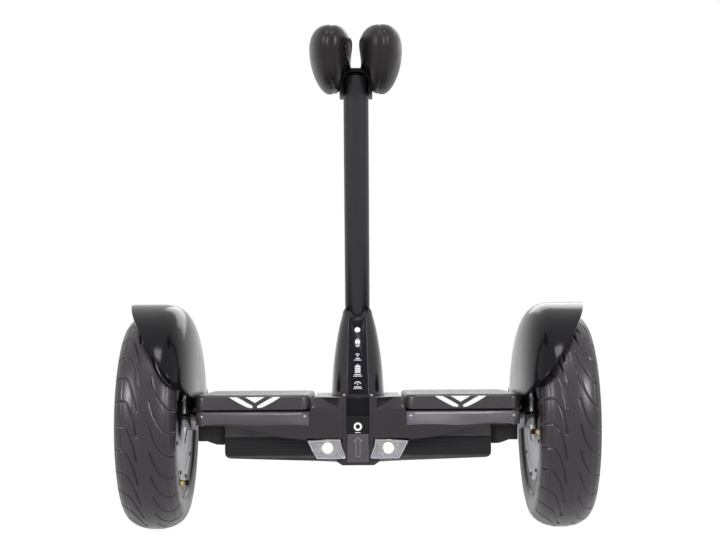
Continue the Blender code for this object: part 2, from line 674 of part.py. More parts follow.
def build_battery(finishes):
    """Open case with a shallow keel, and the cells in rows of half-round bumps."""
    half = BATTERY_HALF_LENGTH
    deep = BATTERY_HALF_DEPTH
    top = FRAME_BOTTOM - GAP
    corner = BATTERY_CORNER
    front = mirrored([(half, top)] + arc(half - corner, BATTERY_END_BOTTOM + corner, corner, 0, -90, 4)
                     + [(0.045, BATTERY_END_BOTTOM - 0.0043), (0.002, BATTERY_BOTTOM)])
    case = prism("battery_case", front, -deep, deep, finishes["dark_plastic"])
    section = mirrored([(deep, top + 0.01), (deep, 0.0965), (deep - 0.003, 0.0905), (deep - 0.009, 0.087),
                        (deep - 0.030, BATTERY_BOTTOM - 0.001)])
    common(case, prism("battery_section", section, -half - 0.01, half + 0.01, along="X"))
    cut(case, box("battery_hollow", (-half + BATTERY_WALL, -deep + 0.010, BATTERY_FLOOR),
                  (half - BATTERY_WALL, deep - 0.010, top + 0.01)))
    pack_floor = BATTERY_FLOOR + GAP
    cell_z = pack_floor + 0.008
    outline = []
    for i in range(CELL_ROWS):
        centre = (i - (CELL_ROWS - 1) / 2) * 2 * CELL_RADIUS
        outline += arc(centre, cell_z, CELL_RADIUS, 180, 0, 6)[:-1]
    wide = CELL_ROWS * CELL_RADIUS
    outline += [(wide, cell_z), (wide, pack_floor), (-wide, pack_floor)]
    prism("battery_pack", outline, -half + 0.020, half - 0.020, finishes["cell_wrap"], along="X")


def build_board(name, centre, size, finishes):
    """Circuit board on four feet that reach the roof of its pocket."""
    cx, cy = centre
    half_x, half_y = size
    low, high = 0.1300, 0.1316
    board = box(name, (cx - half_x, cy - half_y, low), (cx + half_x, cy + half_y, high), finishes["board"])
    for i, (a, b) in enumerate(((-1, -1), (1, -1), (1, 1), (-1, 1))):
        x, y = cx + a * (half_x - 0.004), cy + b * (half_y - 0.004)
        foot = rod(f"{name}_foot_{i}", 0.0025, (x, y, low + 0.001), (x, y, POCKET_ROOF - GAP), steps=8)
        join(board, foot)
    join(board, box(f"{name}_heat_sink", (cx - half_x * 0.6, cy - half_y * 0.6, low - 0.008),
                    (cx + half_x * 0.6, cy + half_y * 0.6, low + 0.0005)))


# Covers

def cover_underside():
    """The bumper's lower edge at +X: straight from the end, then down in a crease to the lamp."""
    end = DECK_HALF_LENGTH - 0.034
    return [(DECK_HALF_LENGTH + 0.016, 0.05), (DECK_HALF_LENGTH + 0.016, 0.126), (end, 0.1258),
            (0.1166, 0.1207), (0.0864, 0.1125), (0.058, 0.1094), (0.058, HOOD_BOTTOM)]


def lamp_outline(inset):
    """Front view of a lamp at +X, point by point round its seven corners."""
    corners = [(0.0578, 0.1089), (0.0192, 0.1106), (0.0180, 0.1020), (0.0131, 0.0902), (0.0144, 0.0875),
               (0.0466, 0.0877), (0.0524, 0.0976)]
    half_width, half_height = 0.02, 0.012
    cx = sum(x for x, _ in corners) / len(corners)
    cz = sum(z for _, z in corners) / len(corners)
    return [(x + (cx - x) * inset / half_width, z + (cz - z) * inset / half_height) for x, z in corners]


def hood_path(face):
    """Side view of the hood's outer surface, from the nose up the slope to the seam."""
    edge = HOOD_EDGE_FRONT if face < 0 else HOOD_EDGE_BACK
    front_top = HOOD_FRONT_TOP if face < 0 else HOOD_FRONT_TOP + 0.003
    seam = HOOD_SEAM_Y + face * GAP / 2
    return [(face * DECK_HALF_DEPTH, front_top), (face * edge, HOOD_TOP), (seam, HOOD_TOP)]


def build_cover(face, name, finishes):
    """Bumper round the deck, centre hood with the neck's trough, and nose, on one face."""
    deep = DECK_HALF_DEPTH
    wall = COVER_WALL
    long = DECK_HALF_LENGTH
    corner = DECK_CORNER
    outer = arc(long - corner, -deep + corner, corner, -90, 0, 4) + [(long, -BUMPER_RETURN_Y)]
    inner = [(long - wall, -BUMPER_RETURN_Y)] + arc(long - corner, -deep + corner, corner - wall, 0, -90, 4)
    half = outer + inner
    plan = [(x, y * -face) for x, y in half] + [(-x, y * -face) for x, y in reversed(half)]
    cover = prism(name, plan, 0.105, SEAM_Z, finishes["gloss_black"], along="Z")
    low, high = sorted((face * 0.02, face * FAR))
    cut(cover, prism(f"{name}_crease_cut", mirrored(cover_underside()), low, high))
    for side, side_name in SIDES:
        ends = sided([(long + 0.001, SEAM_Z + 0.0008), (long - 0.0045, 0.125), (long + 0.02, 0.125),
                      (long + 0.02, SEAM_Z + 0.0008)], side)
        cut(cover, prism(f"{name}_{side_name}_end_cut", ends, low, high))
    path = hood_path(face)
    seam = path[-1][0]
    behind = face * (deep - wall)
    under = [(seam, SEAM_Z), (face * (deep - 0.008), SEAM_Z), (behind, 0.137), (behind, HOOD_BOTTOM),
             (face * deep, HOOD_BOTTOM)]
    join(cover, prism(f"{name}_hood", path + under, -HOOD_HALF_WIDTH, HOOD_HALF_WIDTH, along="X"))
    step_x = (HOOD_HALF_WIDTH - 0.001, MAT_INNER_X - 0.0006)
    start, end = sorted((seam, face * (deep - 0.001)))
    for side, side_name in SIDES:
        join(cover, side_box(f"{name}_{side_name}_step", side, step_x, (start, SEAM_Z - 0.0005),
                             (end, 0.146)))
    nose = [(0.0176, 0.1385), (0.0176, 0.1020), (0.0127, 0.0902), (0.0141, 0.0869), (0.0245, 0.0854),
            (0.018, NOSE_BOTTOM)]
    start, end = sorted((face * deep, face * NOSE_BACK_Y))
    join(cover, prism(f"{name}_nose", mirrored(nose), start, end))
    trough = pivot_rod(f"{name}_trough", DRUM_RADIUS + TROUGH_CLEARANCE, DRUM_FRONT_Y - TROUGH_CLEARANCE,
                       DRUM_BACK_Y + TROUGH_CLEARANCE, steps=56)
    if face < 0:
        pocket_start, pocket_end = PEDESTAL_FRONT_Y - 0.0005, DRUM_FRONT_Y
    else:
        pocket_start, pocket_end = DRUM_BACK_Y, PEDESTAL_BACK_Y + 0.0005
    pocket = pivot_rod(f"{name}_pedestal_pocket", PIVOT_BEARING_RADIUS + PEDESTAL_WALL + 0.0005,
                       pocket_start, pocket_end)
    cut(cover, trough, pocket)
    return cover


def build_scoop(side, name):
    """Wedge that leaves a three-cornered scoop in the hood's front, deepest at its outer end."""
    low, high = HOOD_FRONT_TOP - 0.0003, HOOD_TOP + 0.002
    front = -DECK_HALF_DEPTH - 0.0015
    lean = (DECK_HALF_DEPTH - HOOD_EDGE_FRONT) / (HOOD_TOP - HOOD_FRONT_TOP)
    proud = 0.0002
    inner_y = -DECK_HALF_DEPTH - proud + (high - low) * lean
    outer_y = -DECK_HALF_DEPTH - proud + SCOOP_DEPTH
    sections = []
    stations = ((SCOOP_INNER_X, inner_y), (SCOOP_OUTER_X, outer_y), (MAT_INNER_X + 0.002, outer_y))
    for across, top_y in stations:
        sections.append([(side * across, -DECK_HALF_DEPTH - proud, low), (side * across, top_y, high),
                         (side * across, front, high), (side * across, front, low)])
    bm = bmesh.new()
    first, second, third = [[bm.verts.new(point) for point in section] for section in sections]
    bm.faces.new(first)
    bm.faces.new(third)
    # The slanted face is folded from its inner low corner to its outer high one
    bm.faces.new((first[0], second[0], second[1]))
    bm.faces.new((first[0], second[1], first[1]))
    for i in (1, 2, 3):
        j = (i + 1) % 4
        bm.faces.new((first[i], first[j], second[j], second[i]))
    for i in range(4):
        j = (i + 1) % 4
        bm.faces.new((second[i], second[j], third[j], third[i]))
    return make_object(f"{name}_scoop", bm, None)


def rail_outline(proud, depth, low_z):
    """Side view of a band that follows the hood from its top over the front edge down to the nose."""
    deep, edge, top = DECK_HALF_DEPTH, HOOD_EDGE_FRONT, HOOD_TOP
    end_y = PEDESTAL_FRONT_Y - 0.0025
    outer = [(-deep - proud, low_z), (-deep - proud, HOOD_FRONT_TOP), (-edge - proud, top + proud * 0.8),
             (end_y, top + proud * 0.8)]
    inner = [(end_y, top - depth), (-edge + depth * 0.8, top - depth),
             (-deep + depth, HOOD_FRONT_TOP - depth * 0.2), (-deep + depth, low_z)]
    return outer + inner


def build_front_details(cover, finishes):
    """Scoops, rails, inlay, charging flap and nose panel down the middle of the front."""
    deep = DECK_HALF_DEPTH
    half = PANEL_HALF_WIDTH
    rail = 0.0030
    for side, side_name in SIDES:
        cut(cover, build_scoop(side, side_name))
        low, high = sorted((side * (half + GAP), side * (half + GAP + rail)))
        join(cover, prism(f"{side_name}_rail", rail_outline(0.0010, 0.002, 0.1040), low, high, along="X"))
    recess = rail_outline(0.01, PANEL_RECESS, NOSE_BOTTOM + 0.0025)
    cut(cover, prism("centre_recess", recess, -half - GAP, half + GAP, along="X"))
    back = -deep + PANEL_RECESS - GAP
    inlay_sunk = 0.0008
    inlay_front = -deep + inlay_sunk
    inlay_low = FLAP_TOP + 0.0004
    inlay_end = PEDESTAL_FRONT_Y - 0.0030
    under_top = HOOD_TOP - PANEL_RECESS + GAP
    inlay = [(inlay_front, inlay_low), (inlay_front, HOOD_FRONT_TOP),
             (-HOOD_EDGE_FRONT + inlay_sunk, HOOD_TOP - inlay_sunk), (inlay_end, HOOD_TOP - inlay_sunk),
             (inlay_end, under_top),
             (-HOOD_EDGE_FRONT + PANEL_RECESS * 0.8 - GAP, under_top),
             (back, HOOD_FRONT_TOP - PANEL_RECESS * 0.2), (back, inlay_low)]
    prism("pivot_cover", inlay, -half, half, finishes["gloss_black"], along="X")
    nose_panel = box("nose_panel", (-half, -deep - 0.0004, NOSE_BOTTOM + 0.0028),
                     (half, back, FLAP_BOTTOM - 0.0004), finishes["grey_plastic"])
    soften(nose_panel, 0.0006)
    flap_front = -deep - 0.0006
    axis = empty("port_flap_axis", (0, flap_front, FLAP_TOP))
    flap = box("charge_port_flap", (-half, flap_front, FLAP_BOTTOM), (half, back - 0.0004, FLAP_TOP),
               finishes["dark_plastic"])
    cut(flap, rod("flap_plug_recess", 0.0052, (0, back - 0.0012, SOCKET_Z), (0, back + 0.01, SOCKET_Z),
                  steps=16))
    hang(axis, flap)
    radius = CHARGE_SOCKET_RADIUS
    barrel = rod("charge_socket", radius, (0, back + GAP, SOCKET_Z), (0, back + 0.013, SOCKET_Z),
                 finishes["steel"], 16)
    cut(barrel, rod("socket_hole", radius - 0.0016, (0, back - 0.01, SOCKET_Z), (0, back + 0.010, SOCKET_Z),
                    steps=16))
    cut(cover, rod("socket_seat", radius + GAP, (0, back - 0.01, SOCKET_Z), (0, back + 0.0135, SOCKET_Z),
                   steps=16))


def build_lamp(side, name, face, finishes):
    """Housing, chip and lens in front; a lens alone at the back."""
    back_y = NOSE_BACK_Y + 0.0005
    well_floor = LAMP_SPLIT_Y - 0.005
    if face < 0:
        start, end = sorted((face * back_y, face * LAMP_SPLIT_Y))
        housing = prism(f"{name}_lamp_housing", sided(lamp_outline(0.0008), side), start, end,
                        finishes["grey_plastic"])
        x, z = side * LAMP_CENTRE[0], LAMP_CENTRE[1]
        well = rod(f"{name}_lamp_well", LAMP_CHIP_RADIUS + 0.002,
                   (x, face * (LAMP_SPLIT_Y + 0.002), z), (x, face * well_floor, z), steps=20)
        cut(housing, well)
        rod(f"{name}_lamp_chip", LAMP_CHIP_RADIUS, (x, face * (LAMP_SPLIT_Y - GAP), z),
            (x, face * (well_floor + GAP), z), finishes["lamp_glow"], 20)
        low, high = sorted((face * (LAMP_SPLIT_Y + GAP), face * LENS_FRONT_Y))
        prism(f"{name}_lamp_lens", sided(lamp_outline(0.0004), side), low, high, finishes["lens"])
    else:
        low, high = sorted((face * back_y, face * LENS_FRONT_Y))
        prism(f"{name}_back_lamp_lens", sided(lamp_outline(0.0004), side), low, high, finishes["lens"])


# Steering neck and knee bar

def bar_y(z):
    return BAR_PASSES_Y - (z - BAR_PASSES_Z) * math.tan(BAR_LEAN)


def bar_point(z):
    return Vector((0, bar_y(z), z))


def neck_front(z):
    """The neck's front line, straight from the foot up to the collar."""
    return DRUM_FRONT_Y + 0.0004 + (z - NECK_FOOT_Z) * NECK_FRONT_SLOPE


def neck_back(z):
    return bar_y(z) + BAR_RADIUS + 0.0072 + max(0.0, 0.258 - z) * 0.018


def neck_ring(z, half_width, wall_side, wall_front, count=24):
    """A level of the neck: nearly square at the foot, round at the collar."""
    blend = min(max((z - NECK_FOOT_Z) / 0.1, 0), 1)
    exponent = 3.0 - 0.95 * blend
    front = neck_front(z) + wall_front
    back = neck_back(z) - wall_side
    if z > 0.250:
        front = min(front, bar_y(z) - BAR_RADIUS - COLLAR_WALL + min(wall_front, wall_side))
    half = half_width - wall_side
    centre, depth = (front + back) / 2, (back - front) / 2
    points = []
    for i in range(count):
        angle = 2 * math.pi * (i + 0.5) / count
        points.append((half * power(math.cos(angle), 2 / exponent),
                       centre + depth * power(math.sin(angle), 2 / exponent), z))
    return points


def drum_outline(inset):
    """Front view of the drum that turns in the hood's trough."""
    radius = DRUM_RADIUS - inset
    top = DRUM_TOP - inset
    start = math.degrees(math.asin((DRUM_BOTTOM - PIVOT_Z) / radius))
    end = math.degrees(math.asin((top - PIVOT_Z) / radius))
    return mirrored(arc(0, PIVOT_Z, radius, end, start, 6))


def build_neck_shell(finishes):
    """The neck's hollow moulding on its drum, split into a front and a back half."""
    foot_flare = NECK_FLARES[0] - COLLAR_WALL
    widths = [NECK_COLLAR_HALF_WIDTH + (NECK_FOOT_HALF_WIDTH - NECK_COLLAR_HALF_WIDTH)
              * (flare - COLLAR_WALL) / foot_flare for flare in NECK_FLARES]
    rings = [neck_ring(z, w, 0, 0) for z, w in zip(NECK_LEVELS, widths)]
    hollow_rings = [neck_ring(z, w, NECK_WALL, NECK_FRONT_WALL)
                    for z, w in zip(NECK_LEVELS, widths) if z < 0.246]
    for stack in (rings, hollow_rings):
        stack.insert(0, [(x, y, NECK_FOOT_Z - 0.007) for x, y, _ in stack[0]])
    slot = SHAFT_RADIUS + 0.0006
    slot_outline = arc(0, PIVOT_Z, slot, 0, 180, 8) + [(-slot, 0.13), (slot, 0.13)]
    open_bottom = [(x, z if z > DRUM_BOTTOM + 0.001 else DRUM_BOTTOM - 0.002)
                   for x, z in drum_outline(NECK_WALL)]
    rim_line = [(-0.05, 0.290), (0.0, 0.2680), (0.060, 0.2416), (0.060, 0.32), (-0.05, 0.32)]
    shells = []
    for part, low, high in (("front", -FAR, NECK_SEAM_Y - GAP / 2), ("back", NECK_SEAM_Y + GAP / 2, FAR)):
        name = f"neck_shell_{part}"
        shell = loft(name, rings, finishes["gloss_black"])
        join(shell, prism(f"{name}_drum", drum_outline(0), DRUM_FRONT_Y, DRUM_BACK_Y))
        cut(shell, loft(f"{name}_hollow", hollow_rings))
        cut(shell, prism(f"{name}_drum_hollow", open_bottom, DRUM_FRONT_Y + NECK_WALL,
                         DRUM_BACK_Y - NECK_WALL - 0.0005))
        cut(shell, prism(f"{name}_shaft_slot", slot_outline, -FAR, FAR))
        cut(shell, rod(f"{name}_bar_bore", BAR_RADIUS + GAP, bar_point(0.20), bar_point(0.30), steps=32))
        cut(shell, prism(f"{name}_rim_cut", rim_line, -0.05, 0.05, along="X"))
        notch = arc(0, 0.2585, 0.0072, 180, 360, 8) + [(0.0095, 0.29), (-0.0095, 0.29)]
        cut(shell, prism(f"{name}_notch", notch, -0.05, bar_y(0.26)))
        common(shell, box(f"{name}_half", (-FAR, low, 0.05), (FAR, high, 0.4)))
        shells.append(shell)
    return shells


def strip_point(z, depth=0.0):
    """A point on the neck's front line, sunk below it by a depth."""
    return Vector((0, neck_front(z), z)) - STRIP_OUT * depth


def strip_outline(grow):
    length = (STRIP_TOP - STRIP_BOTTOM) / STRIP_UP.z
    low, high = 0.0123 + grow, 0.0103 + grow
    return [(low, -grow), (high, length + grow), (-high, length + grow), (-low, -grow)]


def build_display(shell, finishes):
    """Display strip sunk in the neck's front, with the power button through it."""
    origin = strip_point(STRIP_BOTTOM, STRIP_SUNK)
    across = (1, 0, 0)
    panel = slab("display_panel", strip_outline(0), origin, across, STRIP_UP, STRIP_OUT * STRIP_THICKNESS,
                 finishes["screen"])
    recess = slab("display_recess", strip_outline(GAP), origin - STRIP_OUT * GAP, across, STRIP_UP,
                  STRIP_OUT * 0.02)
    hole = rod("button_hole", BUTTON_RADIUS + GAP, strip_point(BUTTON_Z, 0.0046),
               strip_point(BUTTON_Z, -0.01), steps=20)
    cut(panel, hole)
    cut(shell, recess, hole)
    button = rod("power_button", BUTTON_RADIUS, strip_point(BUTTON_Z, 0.0034),
                 strip_point(BUTTON_Z, 0.0001), finishes["white"], 20)
    return panel, button


def build_steering(finishes):
    axis = empty("steering_axis", (0, 0, PIVOT_Z))
    front_shell, back_shell = build_neck_shell(finishes)
    panel, button = build_display(front_shell, finishes)
    shaft_play = BEARING_END_WALL + 2 * GAP
    shaft = pivot_rod("steering_shaft", SHAFT_RADIUS, PEDESTAL_FRONT_Y + shaft_play,
                      PEDESTAL_BACK_Y - shaft_play, finishes["steel"], 20)

    arm = pivot_rod("steering_arm", ARM_RADIUS, DRUM_FRONT_Y + 0.0030, DRUM_BACK_Y - 0.0030,
                    finishes["cast_metal"], 24)
    tube = rod("arm_tube", SOCKET_RADIUS, bar_point(0.160), bar_point(SOCKET_TOP), steps=28)
    gusset = [(-0.024, PIVOT_Z), (DRUM_BACK_Y - 0.0142, PIVOT_Z), (DRUM_BACK_Y - 0.0162, 0.166),
              (bar_y(0.215) - 0.012, 0.215), (-0.010, 0.158)]
    tail = [(-0.005, PIVOT_Z), (0.005, PIVOT_Z), (ARM_TAIL_HALF_WIDTH, ARM_TAIL_BOTTOM),
            (-ARM_TAIL_HALF_WIDTH, ARM_TAIL_BOTTOM)]
    join(arm, tube, prism("arm_gusset", gusset, -0.006, 0.006, along="X"),
         prism("arm_tail", tail, 0.002, 0.018))
    bore = rod("arm_bore", BAR_RADIUS + GAP, bar_point(BAR_BOTTOM - 0.0004), bar_point(0.26), steps=32)
    shaft_bore = pivot_rod("arm_shaft_bore", SHAFT_RADIUS + GAP, -FAR, FAR, steps=20)
    cut(arm, bore, shaft_bore)

    bar = rod("control_bar", BAR_RADIUS, bar_point(BAR_BOTTOM), bar_point(BAR_TOP), finishes["satin_black"],
              steps=32)
    cut(bar, rod("bar_inside", BAR_RADIUS - BAR_WALL, bar_point(BAR_BOTTOM - 0.01),
                 bar_point(BAR_TOP + 0.01)))
    hang(axis, front_shell, back_shell, panel, button, shaft, arm, bar)

    inner = SHAFT_RADIUS + GAP
    outer = PIVOT_BEARING_RADIUS
    end_play = BEARING_END_WALL + GAP
    for name, start, end in (("front", PEDESTAL_FRONT_Y + end_play, DRUM_FRONT_Y - 0.0030),
                             ("back", DRUM_BACK_Y + 0.0030, PEDESTAL_BACK_Y - end_play)):
        lathe(f"{name}_pivot_bearing", [(start, inner), (start, outer), (end, outer), (end, inner)],
              finishes["steel"], axis="Y", centre=(0, 0, PIVOT_Z), steps=20)
    swing = (ARM_TAIL_HALF_WIDTH * math.cos(LEAN_LIMIT)
             + (PIVOT_Z - ARM_TAIL_BOTTOM) * math.sin(LEAN_LIMIT) + GAP)
    for side, name in SIDES:
        stop = side_box(f"{name}_lean_stop", side, (swing, swing + 0.010),
                        (0.000, FRAME_BOTTOM + 0.003 + GAP), (0.020, 0.1255), finishes["rubber"])
        soften(stop, 0.001)
    return axis


def pad_surface(side, inset=0.0):
    """Egg-shaped cushion: poles at its faces, fullest above the middle, drawn in at its seams."""
    centre_x = PAD_INNER_X + PAD_HALF_THICKNESS
    thick, long, high = PAD_HALF_THICKNESS - inset, PAD_HALF_LENGTH - inset, PAD_HALF_HEIGHT - inset
    rings = []
    for j in range(PAD_ACROSS + 1):
        polar = math.pi * (j + 0.4) / (PAD_ACROSS + 0.8)
        across = -math.cos(polar)
        reach = math.sin(polar)
        seam = math.exp(-((across - 0.30) / 0.05) ** 2)
        draw = 1 - 0.022 * seam
        ring = []
        for i in range(PAD_ROUND):
            turn = 2 * math.pi * i / PAD_ROUND
            upward = reach * math.sin(turn)
            lift = PAD_LIFT * (1 - upward ** 2)
            y = PAD_CENTRE_Y + long * reach * math.cos(turn) * draw
            z = PAD_CENTRE_Z + high * upward * draw + PAD_HALF_HEIGHT * lift
            ring.append((side * (centre_x + thick * across), y, z))
        rings.append(ring)
    return rings


def plate_outline(grow):
    return [(PLATE_Y + (PLATE_HALF_LENGTH + grow) * math.cos(2 * math.pi * i / PLATE_STEPS),
             PLATE_Z + (PLATE_HALF_HEIGHT + grow) * math.sin(2 * math.pi * i / PLATE_STEPS))
            for i in range(PLATE_STEPS)]


def pad_layer(name, side, grow, inset):
    """What an oval cutter takes off the pad's inner side, down to an inset of its skin."""
    low, high = sorted((0.0, side * (PAD_INNER_X + PAD_HALF_THICKNESS)))
    layer = prism(name, plate_outline(grow), low, high, along="X")
    cut(layer, loft(f"{name}_core", pad_surface(side, inset)))
    return layer


def build_pad(side, name, axis, bracket_cut, finishes):
    """Cushion with an oval dished plate let into its inner side, curved as the cushion is."""
    floor = PLATE_DISH + PLATE_WALL
    pad = loft(f"{name}_knee_pad", pad_surface(side), finishes["leather"])
    plate = loft(f"{name}_pad_plate", pad_surface(side, PLATE_SUNK), finishes["gloss_black"])
    common(plate, pad_layer(f"{name}_plate_blank", side, 0.0, floor))
    cut(plate, pad_layer(f"{name}_plate_dish", side, -PLATE_RIM, PLATE_DISH), bracket_cut)
    cut(pad, pad_layer(f"{name}_plate_seat", side, GAP, floor + GAP), bracket_cut)
    hang(axis, pad, plate)


def bracket_outline(grow):
    """Front view of the block that caps the bar and carries both pads."""
    wide = BAR_RADIUS + grow
    return mirrored([(wide - 0.0050, BRACKET_TOP + grow), (wide, BRACKET_SHOULDER + grow * 0.4),
                     (wide + 0.0018, BRACKET_WAIST), (wide + 0.0045, BRACKET_BOTTOM - grow)])


def window_outline():
    """Front view of the arched opening that shows the bar's head."""
    half, top = BAR_RADIUS + 0.0008, BAR_TOP + 0.0025
    return mirrored([(half * 0.38, top - 0.0008), (half * 0.68, top - 0.0035), (half * 0.90, top - 0.0080),
                     (half, top - 0.0140), (half, BRACKET_BOTTOM - 0.010)])


def build_head(axis, finishes):
    front, back = BRACKET_FRONT_Y, BRACKET_BACK_Y
    bracket = prism("pad_bracket", bracket_outline(0), front, back, finishes["dark_plastic"])
    bore = rod("bracket_bore", BAR_RADIUS + GAP, bar_point(0.48), bar_point(BAR_TOP + 0.0006), steps=32)
    window = prism("bracket_window", window_outline(), front - 0.01, bar_y(BRACKET_WAIST) - 0.002)
    cut(bracket, bore, window)
    clearance = prism("bracket_clearance", bracket_outline(0.0004), -FAR, back + 0.0005)
    for side, name in SIDES:
        build_pad(side, name, axis, clearance, finishes)
    hang(axis, bracket)


def stand_on_tyres():
    """Lift everything by what the tyres are bigger than the axle height it is drawn round."""
    for piece in bpy.context.scene.objects:
        if piece.parent is None:
            piece.location.z += TYRE_RADIUS - AXLE_Z


def build_all():
    clear_scene()
    finishes = {
        "rubber": material("tyre_rubber", (0.045, 0.043, 0.045), 0.62),
        "gloss_black": material("gloss_black_plastic", (0.030, 0.027, 0.028), 0.18),
        "dark_plastic": material("dark_plastic", (0.040, 0.038, 0.040), 0.45),
        "grey_plastic": material("grey_plastic", (0.12, 0.11, 0.115), 0.40),
        "satin_black": material("satin_black_coat", (0.045, 0.043, 0.048), 0.38, 0.4),
        "leather": material("pad_skin", (0.045, 0.040, 0.042), 0.40),
        "cast_metal": material("cast_metal", (0.20, 0.20, 0.21), 0.45, 0.9),
        "dark_metal": material("dark_metal", (0.035, 0.033, 0.035), 0.45, 0.5),
        "silver": material("silver_metal", (0.55, 0.55, 0.57), 0.35, 1.0),
        "steel": material("bright_steel", (0.60, 0.60, 0.62), 0.30, 1.0),
        "brass": material("valve_brass", (0.65, 0.50, 0.25), 0.30, 1.0),
        "copper": material("wound_core", (0.60, 0.32, 0.16), 0.40, 1.0),
        "cable": material("cable_sleeve", (0.72, 0.66, 0.52), 0.55),
        "cell_wrap": material("cell_wrap", (0.05, 0.10, 0.28), 0.50),
        "board": material("circuit_board", (0.03, 0.16, 0.07), 0.50),
        "screen": material("display_glass", (0.020, 0.020, 0.035), 0.12),
        "white": material("white_print", (0.85, 0.85, 0.85), 0.40),
        "lens": material("clear_lens", (0.75, 0.77, 0.78), 0.10),
        "lamp_glow": material("lamp_chip", (1.0, 1.0, 0.85), 0.30),
    }
    for side, name in SIDES:
        build_wheel(side, name, finishes)
        build_axle(side, name, finishes)
        build_motor_cable(side, name, finishes)
        build_fender(side, name, finishes)
        build_clamp(side, name, finishes)
        build_mat(side, name, finishes)
        build_lamp(side, name, -1, finishes)
        build_lamp(side, name, 1, finishes)
    build_frame(finishes)
    build_battery(finishes)
    build_board("control_board", (-0.0765, 0.0), (0.018, 0.055), finishes)
    build_board("gyro_board", (0.0765, 0.0), (0.016, 0.024), finishes)
    front_cover = build_cover(-1, "front_cover", finishes)
    build_cover(1, "back_cover", finishes)
    build_front_details(front_cover, finishes)
    axis = build_steering(finishes)
    build_head(axis, finishes)
    stand_on_tyres()


build_all()
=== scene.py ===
"""Looks of the self-balancing scooter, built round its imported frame."""

import json
import math

import bmesh
import bpy
import numpy as np
from bpy.props import FloatProperty, FloatVectorProperty, IntProperty, PointerProperty
from mathutils import Matrix, Vector

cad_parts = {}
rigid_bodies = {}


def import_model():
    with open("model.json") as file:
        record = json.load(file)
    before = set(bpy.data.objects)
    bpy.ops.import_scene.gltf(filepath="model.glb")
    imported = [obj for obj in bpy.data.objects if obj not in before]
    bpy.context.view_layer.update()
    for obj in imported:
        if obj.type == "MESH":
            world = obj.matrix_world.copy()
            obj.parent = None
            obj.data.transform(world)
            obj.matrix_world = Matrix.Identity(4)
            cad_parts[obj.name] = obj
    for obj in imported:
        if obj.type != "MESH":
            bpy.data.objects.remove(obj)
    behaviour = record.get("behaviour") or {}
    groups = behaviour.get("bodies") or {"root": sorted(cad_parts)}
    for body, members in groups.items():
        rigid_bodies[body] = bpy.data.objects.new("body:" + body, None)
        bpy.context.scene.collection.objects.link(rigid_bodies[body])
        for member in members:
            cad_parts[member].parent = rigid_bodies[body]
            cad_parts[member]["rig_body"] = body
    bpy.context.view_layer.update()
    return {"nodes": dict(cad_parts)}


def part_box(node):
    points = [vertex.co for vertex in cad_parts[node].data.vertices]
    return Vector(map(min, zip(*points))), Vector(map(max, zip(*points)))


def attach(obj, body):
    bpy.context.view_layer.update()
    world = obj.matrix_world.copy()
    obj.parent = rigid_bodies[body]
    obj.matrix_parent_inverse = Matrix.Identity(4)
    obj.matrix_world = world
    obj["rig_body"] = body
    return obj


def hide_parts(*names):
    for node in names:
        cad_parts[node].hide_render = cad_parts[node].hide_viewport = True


bl_info = {
    "name": "Self-balancing scooter",
    "version": (1, 0, 0),
    "blender": (4, 5, 0),
    "location": "3D View > Sidebar > Scooter",
    "description": "Models the scooter's finished pieces round its frame",
    "category": "Object",
}

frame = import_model()
SIDES = ((-1, "left"), (1, "right"))


def box_of(node):
    low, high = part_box(node)
    return Vector(low), Vector(high)


def middle_of(node):
    low, high = box_of(node)
    return (low + high) / 2


# Places read from the frame
WHEEL_X = middle_of("right_tyre").x
TYRE_RADIUS = (box_of("right_tyre")[1].z - box_of("right_tyre")[0].z) / 2
AXLE_Z = middle_of("right_tyre").z
TYRE_HALF_WIDTH = (box_of("right_tyre")[1].x - box_of("right_tyre")[0].x) / 2
DECK_END = box_of("main_frame")[1].x
DECK_FACE = -box_of("left_foot_mat")[0].y
MAT_TOP = box_of("left_foot_mat")[1].z
MAT_BOTTOM = box_of("left_foot_mat")[0].z
MAT_INNER_X = box_of("right_foot_mat")[0].x
MAT_X = (MAT_INNER_X + DECK_END) / 2
PAD_LOW, PAD_HIGH = box_of("right_knee_pad")

# Steering neck and knee bar, as the frame has them; the strip lies up the neck's sloping front
PIVOT_Z = 0.140
DRUM_RADIUS = 0.0389
DRUM_BOTTOM = 0.136
DRUM_TOP = 0.157
DRUM_FRONT_Y = -0.036
DRUM_BACK_Y = box_of("neck_shell_back")[1].y
NECK_FOOT_Z = 0.157
NECK_SEAM_Y = 0.026
NECK_SLOPE = 0.4316
NECK_LEVELS = (0.1575, 0.1595, 0.163, 0.171, 0.185, 0.202, 0.220, 0.238, 0.248, 0.256, 0.270)
NECK_HALF_WIDTHS = (0.0333, 0.0320, 0.0313, 0.0310, 0.0302, 0.0286, 0.0260, 0.0227, 0.0202, 0.0178,
                    0.0172)
BAR_RADIUS = 0.015
BAR_LEAN = math.radians(14)
# The bar's axis passes here: (Y, Z)
BAR_PASSES = (0.022, 0.267)
BAR_BOTTOM = 0.166
BAR_TOP = 0.5365
STRIP_UP = Vector((0, NECK_SLOPE, 1)).normalized()
STRIP_OUT = Vector((0, -STRIP_UP.z, STRIP_UP.y))
STRIP_SUNK = 0.0004
STRIP_FOOT_Z = 0.1590
STRIP_LENGTH = 0.0915 / STRIP_UP.z
STRIP_FOOT_HALF = 0.0126
STRIP_TOP_HALF = 0.0106
LAMP_X = 0.0345
LAMP_Z = 0.0998
SOCKET_Z = 0.1225

# How far a printed mark stands off its face, and how near two of a node's corners are when they are one
PRINT_GAP = 0.00002
MERGE_REACH = 2e-5


